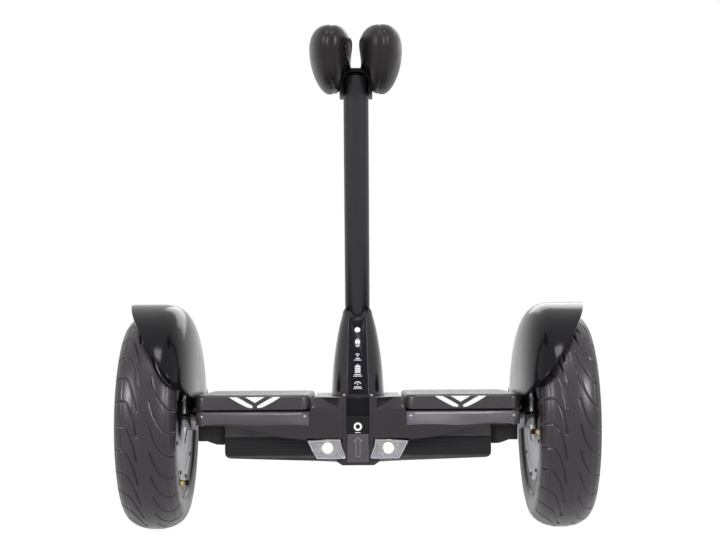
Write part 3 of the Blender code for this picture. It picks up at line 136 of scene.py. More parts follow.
class ScooterSizes(bpy.types.PropertyGroup):
    """Sizes of the details that the frame doesn't hold."""

    tread_pitches: IntProperty(
        name="Tread pitches", description="How often the groove pattern repeats round a tyre",
        default=28, min=8)
    groove_depth: FloatProperty(
        name="Groove depth", description="Depth of the tread's grooves", default=0.0014,
        subtype="DISTANCE", unit="LENGTH")
    groove_width: FloatProperty(
        name="Groove width", description="Width of the tread's grooves at the surface", default=0.0022,
        subtype="DISTANCE", unit="LENGTH")
    mat_groove_depth: FloatProperty(
        name="Mat groove depth", description="Depth of the short grooves in the mats", default=0.0008,
        subtype="DISTANCE", unit="LENGTH")
    seam_depth: FloatProperty(
        name="Pad seam depth", description="How far the knee pads draw in at their seams", default=0.0008,
        subtype="DISTANCE", unit="LENGTH")
    edge_radius: FloatProperty(
        name="Edge radius", description="Rounding of the moulded covers' edges", default=0.0007,
        subtype="DISTANCE", unit="LENGTH")
    print_thickness: FloatProperty(
        name="Print thickness", description="Thickness of the white printed marks", default=0.00012,
        subtype="DISTANCE", unit="LENGTH")


def colour_property(name, description, default):
    return FloatVectorProperty(name=name, description=description, default=default, size=3,
                               min=0.0, max=1.0, subtype="COLOR")


class ScooterColours(bpy.types.PropertyGroup):
    """Base colours of the finishes."""

    gloss_black: colour_property("Gloss black", "Moulded covers and neck", (0.030, 0.024, 0.029))
    neck_black: colour_property("Neck black", "Moulded steering neck", (0.0100, 0.0080, 0.0110))
    fender_black: colour_property("Fender black", "Moulded fenders", (0.0050, 0.0040, 0.0055))
    dark_plastic: colour_property("Dark plastic", "Battery case and foot sensors", (0.0125, 0.0115, 0.0135))
    grey_plastic: colour_property("Grey plastic", "Nose panel under the display", (0.075, 0.068, 0.078))
    bar_coat: colour_property("Bar coat", "Coat of the knee bar", (0.0125, 0.0110, 0.0140))
    tyre: colour_property("Tyre rubber", "Tread and sidewalls", (0.0250, 0.0205, 0.0250))
    mat: colour_property("Mat rubber", "Foot mats", (0.026, 0.023, 0.027))
    pad_skin: colour_property("Pad skin", "Skin of the knee pads", (0.0120, 0.0096, 0.0112))
    # The band's pale colour is a painted reflection of a clear film's sheen
    film: colour_property("Bumper band", "Smooth band along the bumper", (0.095, 0.086, 0.104))
    screen: colour_property("Display glass", "Display strip", (0.0050, 0.0045, 0.0095))
    marks: colour_property("Printed marks", "White marks and button", (0.82, 0.82, 0.84))
    lamp: colour_property("Lamp light", "Light of the front lamps", (0.90, 1.0, 0.55))


# Materials

# Sockets of a Mix node that mixes colours
MIX_FACTOR, MIX_FIRST, MIX_SECOND, MIX_RESULT = 0, 6, 7, 2


class Finish:
    """A procedural material in the making: its nodes, its shader and the relief added so far."""

    def __init__(self, name, colour, roughness, metallic=0.0):
        self.material = bpy.data.materials.new(name)
        self.material.use_nodes = True
        self.tree = self.material.node_tree
        self.shader = self.tree.nodes["Principled BSDF"]
        self.colour = tuple(colour)
        self.material.diffuse_color = (*self.colour, 1.0)
        self.shader.inputs["Base Color"].default_value = (*self.colour, 1.0)
        self.shader.inputs["Roughness"].default_value = roughness
        self.shader.inputs["Metallic"].default_value = metallic
        self.place = self.add("ShaderNodeTexCoord").outputs["Object"]
        self.relief = None

    def add(self, kind, **settings):
        node = self.tree.nodes.new(kind)
        for key, value in settings.items():
            setattr(node, key, value)
        return node

    def set(self, **sockets):
        """Constant values on the shader's own sockets; spaces are written as underscores."""
        for key, value in sockets.items():
            self.shader.inputs[key.replace("_", " ")].default_value = value
        return self

    def joined(self, source, target):
        self.tree.links.new(source, target)

    def mapped(self, stretch=(1, 1, 1), offset=(0, 0, 0), turn=(0, 0, 0)):
        node = self.add("ShaderNodeMapping")
        node.inputs["Scale"].default_value = stretch
        node.inputs["Location"].default_value = offset
        node.inputs["Rotation"].default_value = turn
        self.joined(self.place, node.inputs["Vector"])
        return node.outputs["Vector"]

    def noise(self, scale, detail=3.0, stretch=None, rough=0.5):
        node = self.add("ShaderNodeTexNoise")
        node.inputs["Scale"].default_value = scale
        node.inputs["Detail"].default_value = detail
        node.inputs["Roughness"].default_value = rough
        self.joined(self.mapped(stretch) if stretch else self.place, node.inputs["Vector"])
        return node.outputs["Fac"]

    def cells(self, scale, feature="F1"):
        node = self.add("ShaderNodeTexVoronoi", feature=feature)
        node.inputs["Scale"].default_value = scale
        self.joined(self.place, node.inputs["Vector"])
        return node.outputs["Distance"]

    def waves(self, scale, turn=None):
        """Bands that follow each other along X, or along X turned."""
        node = self.add("ShaderNodeTexWave", bands_direction="X")
        node.inputs["Scale"].default_value = scale
        node.inputs["Distortion"].default_value = 0.0
        self.joined(self.mapped(turn=turn) if turn else self.place, node.inputs["Vector"])
        return node.outputs["Fac"]

    def rings(self, centre, scale):
        """Fine turned lines round the axle."""
        moved = self.mapped(stretch=(0, 1, 1), offset=(0, -centre[1], -centre[2]))
        length = self.add("ShaderNodeVectorMath", operation="LENGTH")
        self.joined(moved, length.inputs[0])
        node = self.add("ShaderNodeTexNoise", noise_dimensions="1D")
        node.inputs["Scale"].default_value = scale
        node.inputs["Detail"].default_value = 2.0
        self.joined(length.outputs["Value"], node.inputs["W"])
        return node.outputs["Fac"]

    def attribute(self, name):
        return self.add("ShaderNodeAttribute", attribute_name=name).outputs["Fac"]

    def ranged(self, value, low, high, to_low, to_high):
        node = self.add("ShaderNodeMapRange")
        ends = {"From Min": low, "From Max": high, "To Min": to_low, "To Max": to_high}
        for socket, number in ends.items():
            node.inputs[socket].default_value = number
        self.joined(value, node.inputs["Value"])
        return node.outputs["Result"]

    def blended(self, first, second, factor):
        """A colour between two; each is a colour or an earlier blend's output."""
        node = self.add("ShaderNodeMix", data_type="RGBA")
        for socket, value in ((MIX_FIRST, first), (MIX_SECOND, second)):
            if isinstance(value, tuple):
                node.inputs[socket].default_value = (*value, 1.0)
            else:
                self.joined(value, node.inputs[socket])
        self.joined(factor, node.inputs[MIX_FACTOR])
        return node.outputs[MIX_RESULT]

    def varied(self, factor, darker, lighter):
        """Base colour that drifts between a darker and a lighter share of the finish's colour."""
        low = tuple(min(part * darker, 1.0) for part in self.colour)
        high = tuple(min(part * lighter, 1.0) for part in self.colour)
        mixed = self.blended(low, high, factor)
        self.joined(mixed, self.shader.inputs["Base Color"])
        return mixed

    def worn(self, factor, smooth, rough):
        self.joined(self.ranged(factor, 0.3, 0.7, smooth, rough), self.shader.inputs["Roughness"])
        return self

    def raised(self, height, strength, distance):
        """Add relief on top of what is there."""
        node = self.add("ShaderNodeBump")
        node.inputs["Strength"].default_value = strength
        node.inputs["Distance"].default_value = distance
        self.joined(height, node.inputs["Height"])
        if self.relief is not None:
            self.joined(self.relief, node.inputs["Normal"])
        self.relief = node.outputs["Normal"]
        self.joined(self.relief, self.shader.inputs["Normal"])
        return self


FINISHES = {}


def finish(name):
    """A finish by name, made when it is first asked for."""
    if name not in FINISHES:
        FINISHES[name] = MAKERS[name]().material
    return FINISHES[name]


def colours():
    return bpy.context.scene.scooter_colours


def sizes():
    return bpy.context.scene.scooter_sizes


def glossy_plastic(name, colour, roughness, peel=0.05, shine=0.22):
    """Moulded and polished: a trace of orange peel, hairlines and wiped dust."""
    made = Finish(name, colour, roughness)
    made.set(Specular_IOR_Level=shine)
    drift = made.noise(14, 3)
    made.varied(drift, 0.86, 1.16)
    hairs = made.noise(260, 2, stretch=(1, 0.12, 0.12))
    made.worn(made.noise(38, 5, rough=0.62), roughness * 0.75, roughness * 1.35)
    made.raised(made.noise(170, 1), peel, 0.0006)
    made.raised(hairs, 0.04, 0.0002)
    return made


def grained_plastic(name, colour, roughness, grain=1100, depth=0.22):
    """Spark-eroded mould grain with slightly polished high spots."""
    made = Finish(name, colour, roughness)
    made.set(Specular_IOR_Level=0.2)
    made.varied(made.noise(22, 4), 0.82, 1.2)
    made.worn(made.noise(60, 4), roughness * 0.85, roughness * 1.2)
    made.raised(made.noise(grain, 2), depth, 0.0003)
    return made


def tyre_rubber():
    """Tread rubber: fine grain and a bloom of dust, with painted shade in the grooves and a painted
    highlight along their edges.
    """
    made = Finish("tyre_rubber", colours().tyre, 0.5)
    made.set(Specular_IOR_Level=0.42)
    drift = made.noise(26, 5, rough=0.6)
    base = made.varied(drift, 0.80, 1.25)
    # Painted highlight: the base colour five times lighter in a band along one edge of each groove
    groove_edge_painted_highlight = made.blended(base, tuple(part * 5.0 for part in made.colour), made.attribute("edge"))
    # Painted shade: the grooves' floors go near black by how deep in a groove each point lies
    groove_painted_shade = made.blended(groove_edge_painted_highlight, (0.003, 0.0025, 0.0027), made.attribute("groove"))
    made.joined(groove_painted_shade, made.shader.inputs["Base Color"])
    made.worn(made.noise(120, 5, rough=0.65), 0.25, 0.38)
    made.raised(made.noise(900, 3), 0.14, 0.0003)
    made.raised(made.noise(90, 3), 0.08, 0.0008)
    return made


def mat_rubber():
    made = Finish("mat_rubber", colours().mat, 0.30)
    made.set(Specular_IOR_Level=0.5)
    made.varied(made.noise(30, 4), 0.82, 1.22)
    made.worn(made.noise(80, 4), 0.24, 0.38)
    made.raised(made.cells(1100), 0.05, 0.0002)
    made.raised(made.noise(45, 2), 0.04, 0.0008)
    return made


def pad_skin(name, roughness):
    """Smooth skin over foam: fine leather cells, soft unevenness and a little sheen."""
    made = Finish(name, colours().pad_skin, roughness)
    made.set(Specular_IOR_Level=0.24)
    made.varied(made.noise(18, 4), 0.8, 1.3)
    made.worn(made.noise(70, 4), roughness * 0.85, roughness * 1.25)
    made.raised(made.cells(620, "DISTANCE_TO_EDGE"), 0.09, 0.0003)
    made.raised(made.noise(26, 1), 0.08, 0.0010)
    return made


def coated_tube():
    made = Finish("bar_coat", colours().bar_coat, 0.36)
    made.set(Specular_IOR_Level=0.36)
    made.varied(made.noise(20, 4), 0.85, 1.18)
    made.worn(made.noise(140, 3), 0.30, 0.42)
    made.raised(made.noise(1500, 2), 0.10, 0.0002)
    return made


def turned_metal(name, colour, roughness, scale=2600):
    """Machined face: fine rings round the axle with faint streaks of wear."""
    made = Finish(name, colour, roughness, 1.0)
    made.varied(made.noise(40, 4), 0.82, 1.12)
    lines = made.rings((0, 0, AXLE_Z), scale)
    made.worn(lines, roughness * 0.8, roughness * 1.25)
    made.raised(lines, 0.12, 0.0002)
    return made


def cast_metal(name, colour, roughness, metallic):
    made = Finish(name, colour, roughness, metallic)
    made.varied(made.noise(35, 4), 0.8, 1.2)
    made.worn(made.noise(90, 4), roughness * 0.85, roughness * 1.2)
    made.raised(made.cells(420), 0.18, 0.0004)
    made.raised(made.noise(1200, 2), 0.1, 0.0002)
    return made


def woven_sleeve():
    """Glass sleeve over the motor leads: crossed threads and a slightly soiled tone."""
    made = Finish("cable_sleeve", (0.62, 0.54, 0.38), 0.7)
    made.varied(made.noise(160, 3), 0.62, 1.15)
    made.raised(made.waves(900, turn=(0, math.radians(45), math.radians(45))), 0.5, 0.0004)
    made.raised(made.waves(900, turn=(0, math.radians(-45), math.radians(-45))), 0.5, 0.0004)
    return made


def clear_lens(name, tint, rough=0.06):
    made = Finish(name, tint, rough)
    made.set(Transmission_Weight=0.86, IOR=1.46, Coat_Weight=0.3)
    made.worn(made.noise(90, 3), rough * 0.8, rough * 1.6)
    made.raised(made.waves(150), 0.12, 0.0006)
    return made


def reflector():
    made = Finish("lamp_reflector", (0.27, 0.26, 0.29), 0.3, 0.5)
    made.varied(made.noise(60, 3), 0.8, 1.15)
    made.worn(made.noise(50, 3), 0.2, 0.38)
    made.raised(made.waves(110), 0.3, 0.0008)
    return made


def lamp_glow(name, colour, strength):
    made = Finish(name, colour, 0.4)
    made.set(Emission_Color=(*colour, 1.0), Emission_Strength=strength)
    made.varied(made.noise(200, 2), 0.95, 1.05)
    made.raised(made.cells(900), 0.1, 0.0002)
    return made


def bumper_band():
    """Smooth glossy band whose skin lies in long soft waves; its pale colour, lighter and darker in long
    waves, is a painted reflection of a film's sheen.
    """
    made = Finish("bumper_band", colours().film, 0.2)
    made.set(Specular_IOR_Level=0.45)
    drift = made.noise(13, 1.5, stretch=(0.55, 1, 2.6))
    # Painted reflection: colour lighter and darker in long stretched waves
    made.varied(made.ranged(drift, 0.38, 0.62, 0, 1), 0.62, 1.65)
    made.worn(made.noise(40, 3), 0.16, 0.28)
    made.raised(made.noise(24, 2, stretch=(0.5, 1, 2.2)), 0.4, 0.003)
    return made


def screen_glass():
    made = Finish("display_glass", colours().screen, 0.25)
    made.set(Specular_IOR_Level=0.14)
    made.varied(made.noise(30, 2), 0.85, 1.2)
    made.worn(made.noise(70, 4), 0.2, 0.3)
    made.raised(made.noise(60, 1), 0.02, 0.0005)
    return made


def printed_marks():
    made = Finish("printed_marks", colours().marks, 0.4)
    made.varied(made.noise(400, 3), 0.86, 1.05)
    made.worn(made.noise(300, 2), 0.32, 0.5)
    made.raised(made.noise(1200, 2), 0.08, 0.0001)
    return made


def circuit_board():
    made = Finish("circuit_board", (0.02, 0.11, 0.05), 0.4)
    tracks = made.cells(160, "DISTANCE_TO_EDGE")
    printed = made.blended((0.015, 0.08, 0.035), (0.04, 0.2, 0.09), tracks)
    made.joined(printed, made.shader.inputs["Base Color"])
    made.worn(made.noise(90, 3), 0.3, 0.5)
    made.raised(tracks, 0.2, 0.0003)
    return made


def wound_core():
    made = Finish("wound_core", (0.48, 0.22, 0.09), 0.38, 0.9)
    made.varied(made.noise(90, 4), 0.6, 1.2)
    made.worn(made.noise(90, 3), 0.3, 0.5)
    made.raised(made.waves(700), 0.4, 0.0004)
    return made


def cell_wrap():
    made = Finish("cell_wrap", (0.03, 0.07, 0.22), 0.4)
    made.varied(made.noise(50, 3), 0.8, 1.2)
    made.worn(made.noise(70, 3), 0.3, 0.5)
    made.raised(made.waves(30), 0.2, 0.0008)
    return made


MAKERS = {
    "gloss_black": lambda: glossy_plastic("gloss_black", colours().gloss_black, 0.17),
    "neck_black": lambda: glossy_plastic("neck_black", colours().neck_black, 0.14, 0.05, 0.4),
    "inlay_black": lambda: glossy_plastic("inlay_black", (0.004, 0.0035, 0.0045), 0.2, 0.04, 0.12),
    # Darker black for the hood's two scoops: painted shade
    "scoop_painted_shade": lambda: glossy_plastic("scoop_painted_shade", (0.006, 0.005, 0.006), 0.24, 0.05, 0.14),
    "fender_black": lambda: glossy_plastic("fender_black", colours().fender_black, 0.15, 0.07, 0.16),
    "dark_plastic": lambda: grained_plastic("dark_plastic", colours().dark_plastic, 0.40),
    "satin_plastic": lambda: grained_plastic("satin_plastic", (0.004, 0.0036, 0.0042), 0.45, 800, 0.08),
    "grey_plastic": lambda: grained_plastic("grey_plastic", colours().grey_plastic, 0.30, 900, 0.08),
    "bar_coat": coated_tube,
    "tyre_rubber": tyre_rubber,
    "mat_rubber": mat_rubber,
    "soft_rubber": lambda: grained_plastic("soft_rubber", (0.02, 0.019, 0.02), 0.6, 700, 0.15),
    "pad_skin_left": lambda: pad_skin("pad_skin_left", 0.30),
    "pad_skin_right": lambda: pad_skin("pad_skin_right", 0.38),
    "plate_gloss": lambda: glossy_plastic("plate_gloss", (0.006, 0.005, 0.007), 0.5, 0.03, 0.08),
    # Pale grey for the strips along the display's edges: painted highlight of the recess's rounded edges
    "display_edge_highlight": lambda: grained_plastic("display_edge_highlight", (0.13, 0.12, 0.15), 0.24, 900, 0.05),
    "lens_edge": lambda: grained_plastic("lens_edge", (0.45, 0.45, 0.49), 0.3, 900, 0.05),
    "cast_metal": lambda: cast_metal("cast_metal", (0.045, 0.043, 0.046), 0.42, 0.4),
    "dark_metal": lambda: cast_metal("dark_metal", (0.022, 0.020, 0.022), 0.45, 0.3),
    "rim_metal": lambda: cast_metal("rim_metal", (0.028, 0.026, 0.028), 0.36, 0.5),
    "silver_metal": lambda: turned_metal("silver_metal", (0.27, 0.265, 0.28), 0.34),
    "steel": lambda: turned_metal("steel", (0.50, 0.50, 0.52), 0.26, 4200),
    "brass": lambda: turned_metal("brass", (0.58, 0.42, 0.19), 0.28, 4200),
    "bolt_steel": lambda: cast_metal("bolt_steel", (0.10, 0.10, 0.105), 0.32, 1.0),
    "cable_sleeve": woven_sleeve,
    "clear_lens": lambda: clear_lens("clear_lens", (0.86, 0.86, 0.90)),
    "back_lens": lambda: clear_lens("back_lens", (0.45, 0.02, 0.02), 0.1),
    "reflector": reflector,
    "lamp_glow": lambda: lamp_glow("lamp_glow", tuple(colours().lamp), 4.0),
    "bumper_band": bumper_band,
    "screen": screen_glass,
    "marks": printed_marks,
    "board": circuit_board,
    "copper": wound_core,
    "cell_wrap": cell_wrap,
}

# Finish of each frame node that stays
NODE_FINISHES = {
    "main_frame": "cast_metal",
    "steering_arm": "cast_metal",
    "steering_shaft": "steel",
    "front_pivot_bearing": "steel",
    "back_pivot_bearing": "steel",
    "charge_socket": "steel",
    "battery_pack": "cell_wrap",
    "control_board": "board",
    "gyro_board": "board",
}
SIDE_FINISHES = {
    "foot_sensor": "dark_plastic",
    "lean_stop": "soft_rubber",
    "axle": "steel",
    "stator": "copper",
    "motor_cable": "cable_sleeve",
    "inner_bearing": "steel",
}


# Modelling helpers

def shaded(mesh, sharp):
    """Smooth shading that breaks at edges sharper than an angle."""
    mesh.shade_smooth()
    mesh.set_sharp_from_angle(angle=math.radians(sharp))


def dressed(piece, finish_name):
    """One finish all over, in place of what cutting left behind."""
    piece.data.materials.clear()
    piece.data.materials.append(finish(finish_name))
    return piece


def piece_from(name, bm, finish_name, body, stands_for=(), sharp=34):
    """A finished piece in place, riding its body."""
    mesh = bpy.data.meshes.new(name)
    bm.to_mesh(mesh)
    bm.free()
    shaded(mesh, sharp)
    piece = bpy.data.objects.new(name, mesh)
    bpy.context.scene.collection.objects.link(piece)
    if finish_name:
        mesh.materials.append(finish(finish_name))
    if body:
        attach(piece, body)
    if stands_for:
        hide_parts(*stands_for)
    return piece


def applied(piece):
    """Make what the piece's modifiers give its own mesh."""
    bpy.context.view_layer.update()
    graph = bpy.context.evaluated_depsgraph_get()
    mesh = bpy.data.meshes.new_from_object(piece.evaluated_get(graph))
    piece.modifiers.clear()
    old = piece.data
    name = old.name
    piece.data = mesh
    bpy.data.meshes.remove(old)
    mesh.name = name
    return piece


def carved(piece, *cutters, operation="DIFFERENCE"):
    for cutter in cutters:
        modifier = piece.modifiers.new("carve", "BOOLEAN")
        modifier.operation = operation
        modifier.solver = "EXACT"
        modifier.object = cutter
    applied(piece)
    for cutter in cutters:
        bpy.data.objects.remove(cutter, do_unlink=True)
    return piece


def loose(name, bm):
    """An object that only shapes another."""
    return piece_from(name, bm, None, None)


def softened(piece, width, segments=2, angle=35, sharp=40):
    """Round the hard edges and keep the flats flat in the light."""
    modifier = piece.modifiers.new("soft_edges", "BEVEL")
    modifier.width = width
    modifier.segments = segments
    modifier.limit_method = "ANGLE"
    modifier.angle_limit = math.radians(angle)
    modifier.use_clamp_overlap = True
    modifier.harden_normals = False
    applied(piece)
    shaded(piece.data, sharp)
    return piece


def walled(piece, thickness, even=False):
    """Give an open skin its wall, on its inner side."""
    modifier = piece.modifiers.new("wall", "SOLIDIFY")
    modifier.thickness = thickness
    modifier.offset = -1
    modifier.use_even_offset = even
    return applied(piece)


def merged_copy(node):
    """A frame node's triangles with their shared corners joined."""
    bm = bmesh.new()
    bm.from_mesh(frame["nodes"][node].data)
    bmesh.ops.remove_doubles(bm, verts=bm.verts, dist=MERGE_REACH)
    return bm


def flats_joined(bm):
    """Triangles that lie in one flat face become that face."""
    bmesh.ops.dissolve_limit(bm, angle_limit=math.radians(0.8), verts=bm.verts, edges=bm.edges,
                             use_dissolve_boundaries=False)


def refined(node, finish_name, width=None, segments=2):
    """A merged copy of a frame node with rounded edges, which stands for the node."""
    bm = merged_copy(node)
    flats_joined(bm)
    body = frame["nodes"][node]["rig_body"]
    piece = piece_from(f"{node}_finished", bm, None, body, (node,))
    softened(piece, width or sizes().edge_radius, segments, 30)
    return dressed(piece, finish_name)


def coordinates(mesh):
    """The places of a mesh's vertices, one row each."""
    rows = np.zeros(len(mesh.vertices) * 3)
    mesh.vertices.foreach_get("co", rows)
    return rows.reshape(-1, 3)


def moved_to(mesh, rows):
    mesh.vertices.foreach_set("co", rows.ravel())
    mesh.update()


def chained(bm, points, closed):
    """Vertices joined in a row or a ring."""
    verts = [bm.verts.new(p) for p in points]
    edges = [bm.edges.new(pair) for pair in zip(verts, verts[1:])]
    if closed:
        edges.append(bm.edges.new((verts[-1], verts[0])))
    return verts, edges


def bridged(rings, closed=True, capped=True):
    """Skin drawn over rings of points, one after another."""
    bm = bmesh.new()
    rows = [chained(bm, ring, closed)[1] for ring in rings]
    for first, second in zip(rows, rows[1:]):
        bmesh.ops.bridge_loops(bm, edges=first + second)
    if capped:
        bmesh.ops.holes_fill(bm, edges=[e for e in bm.edges if e.is_boundary], sides=0)
    bmesh.ops.recalc_face_normals(bm, faces=bm.faces)
    return bm


def spun(profile, steps, place=None, closed=False):
    """Turn (along X, radius) points round the X axis."""
    bm = bmesh.new()
    verts, edges = chained(bm, [(x, 0, r) for x, r in profile], closed)
    bmesh.ops.spin(bm, geom=verts + edges, cent=(0, 0, 0), axis=(1, 0, 0), dvec=(0, 0, 0),
                   angle=2 * math.pi, steps=steps, use_merge=True, use_duplicate=False)
    bmesh.ops.remove_doubles(bm, verts=bm.verts, dist=1e-6)
    bmesh.ops.recalc_face_normals(bm, faces=bm.faces)
    if place is not None:
        bmesh.ops.transform(bm, matrix=place, verts=bm.verts)
        if place.determinant() < 0:
            bmesh.ops.reverse_faces(bm, faces=bm.faces)
    return bm


def spun_by_sectors(profile, steps, sectors, place):
    """Turn a closed profile round the X axis: one sector first, and then copies of it."""
    bm = bmesh.new()
    verts, edges = chained(bm, [(x, 0, r) for x, r in profile], True)
    share = 2 * math.pi / sectors
    bmesh.ops.spin(bm, geom=verts + edges, cent=(0, 0, 0), axis=(1, 0, 0), dvec=(0, 0, 0),
                   angle=share, steps=steps, use_merge=False, use_duplicate=False)
    bmesh.ops.spin(bm, geom=bm.verts[:] + bm.edges[:] + bm.faces[:], cent=(0, 0, 0), axis=(1, 0, 0),
                   dvec=(0, 0, 0), angle=share * (sectors - 1), steps=sectors - 1, use_merge=False,
                   use_duplicate=True)
    bmesh.ops.remove_doubles(bm, verts=bm.verts, dist=1e-6)
    bmesh.ops.recalc_face_normals(bm, faces=bm.faces)
    bmesh.ops.transform(bm, matrix=place, verts=bm.verts)
    return bm


def turned_between(profile, start, end, steps):
    """Turn (share of the way, radius) points round the line from start to end."""
    start, end = Vector(start), Vector(end)
    length = (end - start).length
    turn = (end - start).to_track_quat("X", "Z").to_matrix().to_4x4()
    return spun([(a * length, r) for a, r in profile], steps, Matrix.Translation(start) @ turn)


def extruded(outline, depth, place):
    """A flat outline in X and Y, extruded along Z and then placed."""
    bm = bmesh.new()
    face = bm.faces.new([bm.verts.new((x, y, 0)) for x, y in outline])
    grown = bmesh.ops.extrude_face_region(bm, geom=[face])
    moved = [v for v in grown["geom"] if isinstance(v, bmesh.types.BMVert)]
    bmesh.ops.translate(bm, verts=moved, vec=(0, 0, depth))
    bmesh.ops.recalc_face_normals(bm, faces=bm.faces)
    bmesh.ops.transform(bm, matrix=place, verts=bm.verts)
    return bm


def boxed(low, high):
    low, high = Vector(low), Vector(high)
    bm = bmesh.new()
    bmesh.ops.create_cube(bm, size=1)
    size = Matrix.Diagonal((*(high - low), 1))
    bmesh.ops.transform(bm, matrix=Matrix.Translation((low + high) / 2) @ size, verts=bm.verts)
    return bm


def bevelled(bm, width, segments=2, angle=30):
    hard = [e for e in bm.edges if len(e.link_faces) == 2 and e.calc_face_angle() > math.radians(angle)]
    bmesh.ops.bevel(bm, geom=hard, offset=width, segments=segments, profile=0.5, affect="EDGES",
                    clamp_overlap=True, material=-1)
    return bm


def gathered(*parts):
    """Several bmeshes as one."""
    bm = bmesh.new()
    for part in parts:
        mesh = bpy.data.meshes.new("part")
        part.to_mesh(mesh)
        part.free()
        bm.from_mesh(mesh)
        bpy.data.meshes.remove(mesh)
    return bm


def arc(cx, cy, radius, start, end, steps):
    """Points round a centre, from one angle to another in degrees."""
    turns = [math.radians(start + (end - start) * i / steps) for i in range(steps + 1)]
    return [(cx + radius * math.cos(turn), cy + radius * math.sin(turn)) for turn in turns]


def mirrored(outline):
    return [*outline, *((-a, b) for a, b in reversed(outline))]


def power(value, exponent):
    return math.copysign(abs(value) ** exponent, value)


def framed(origin, across, up):
    """A place whose X runs across, Y up and Z out of a face."""
    across, up = Vector(across).normalized(), Vector(up).normalized()
    out = across.cross(up)
    turn = Matrix((across, up, out)).transposed().to_4x4()
    return Matrix.Translation(origin) @ turn


def facing_front(y, x=0.0):
    """A place on an upright face that looks to the front, with Z measured from the ground."""
    return framed((x, y, 0), (1, 0, 0), (0, 0, 1))


# Printed marks

def ring_mark(radius, width, cx=0.0, cy=0.0, steps=28):
    """A flat ring, as an outer and an inner outline joined at a slit."""
    return arc(cx, cy, radius, 90, 450, steps) + arc(cx, cy, radius - width, 450, 90, steps)


def bow_mark(cy, radius, width, start, end, steps):
    """A flat band along an arc over a centre at a height."""
    return arc(0, cy, radius, start, end, steps) + arc(0, cy, radius - width, end, start, steps)


def bar_mark(width, height, cx=0.0, cy=0.0):
    return [(cx - width / 2, cy - height / 2), (cx + width / 2, cy - height / 2),
            (cx + width / 2, cy + height / 2), (cx - width / 2, cy + height / 2)]


def marks_piece(name, outlines, place, body):
    """White marks printed on a flat face."""
    parts = [extruded(outline, sizes().print_thickness, place) for outline in outlines]
    piece_from(name, gathered(*parts), "marks", body)


# Tyres

CROWN_DEPTH = 0.022
CROWN_ROUNDNESS = 2.15
TREAD_EDGE = 0.0325
# Each half's curved groove, across the tread and down its front, as photographed
LEFT_GROOVE = ((-0.0318, 0.0016), (-0.0283, 0.0), (-0.0243, 0.0004), (-0.0203, 0.0016), (-0.0159, 0.0071),
               (-0.0114, 0.0195), (-0.0088, 0.0302), (-0.0070, 0.0408))
RIGHT_GROOVE = ((0.0080, 0.0018), (0.0098, 0.0089), (0.0133, 0.0195), (0.0186, 0.0293), (0.0249, 0.0364),
                (0.0302, 0.0394), (0.0322, 0.0392))
# Straight lines round the tread: place across it, and share of a groove's depth
TREAD_LINES = ((-0.0236, 0.45), (0.0248, 0.45), (0.0, 0.16), (-0.0312, 0.35), (0.0315, 0.35))
# From the shoulder down to the bead and back up inside the casing: (inset from the side, radius)
TYRE_WALL = ((0.0001, 0.1030), (0.0004, 0.1010), (0.0001, 0.1000), (0.0006, 0.0985), (0.0016, 0.0955),
             (0.0015, 0.0945), (0.0028, 0.0930), (0.0035, 0.0915), (0.0062, 0.0911), (0.0073, 0.0830),
             (0.0160, 0.0829), (0.0075, 0.1040))


def tyre_outline(dense, coarse):
    """Outer profile from bead to bead, closely spaced over the tread, then back inside the casing."""
    half = TYRE_HALF_WIDTH
    angles = np.radians(np.linspace(-90, 90, 721))
    across = half * np.sign(angles) * np.abs(np.sin(angles)) ** (2 / CROWN_ROUNDNESS)
    rise = CROWN_DEPTH * np.abs(np.cos(angles)) ** (2 / CROWN_ROUNDNESS)
    radius = TYRE_RADIUS - CROWN_DEPTH + rise
    along = np.concatenate(([0], np.cumsum(np.hypot(np.diff(across), np.diff(radius)))))
    edge = float(np.interp(-TREAD_EDGE, across, along))
    end = along[-1]
    stops = np.concatenate((np.linspace(0, edge, coarse, endpoint=False),
                            np.linspace(edge, end - edge, dense),
                            np.linspace(end - edge, end, coarse + 1)[1:]))
    tread = zip(np.interp(stops, along, across).tolist(), np.interp(stops, along, radius).tolist())
    right = [(half - inset, r) for inset, r in TYRE_WALL] + [(half * 0.55, 0.1170)]
    return list(tread) + right + [(-a, r) for a, r in reversed(right)]


def eased(points, per_span=5):
    """Points on a smooth curve through a groove's corners."""
    points = [np.array(point) for point in points]
    knots = [2 * points[0] - points[1], *points, 2 * points[-1] - points[-2]]
    route = []
    for before, start, end, after in zip(knots, knots[1:], knots[2:], knots[3:]):
        bend = 2 * before - 5 * start + 4 * end - after
        twist = 3 * start - before - 3 * end + after
        for t in np.linspace(0, 1, per_span, endpoint=False):
            route.append(0.5 * (2 * start + (end - before) * t + bend * t ** 2 + twist * t ** 3))
    route.append(points[-1])
    return np.array(route)


def distance_to_line(points, line):
    """Least distance from each (across, down) point to a polyline, and how far along it that is."""
    best = np.full(len(points), 1e9)
    share = np.zeros(len(points))
    for index, (start, end) in enumerate(zip(line, line[1:])):
        step = end - start
        along = np.clip(((points - start) @ step) / (step @ step), 0, 1)
        gap = np.hypot(*(points - (start + along[:, None] * step)).T)
        nearer = gap < best
        best[nearer] = gap[nearer]
        share[nearer] = ((index + along) / (len(line) - 1))[nearer]
    return best, share


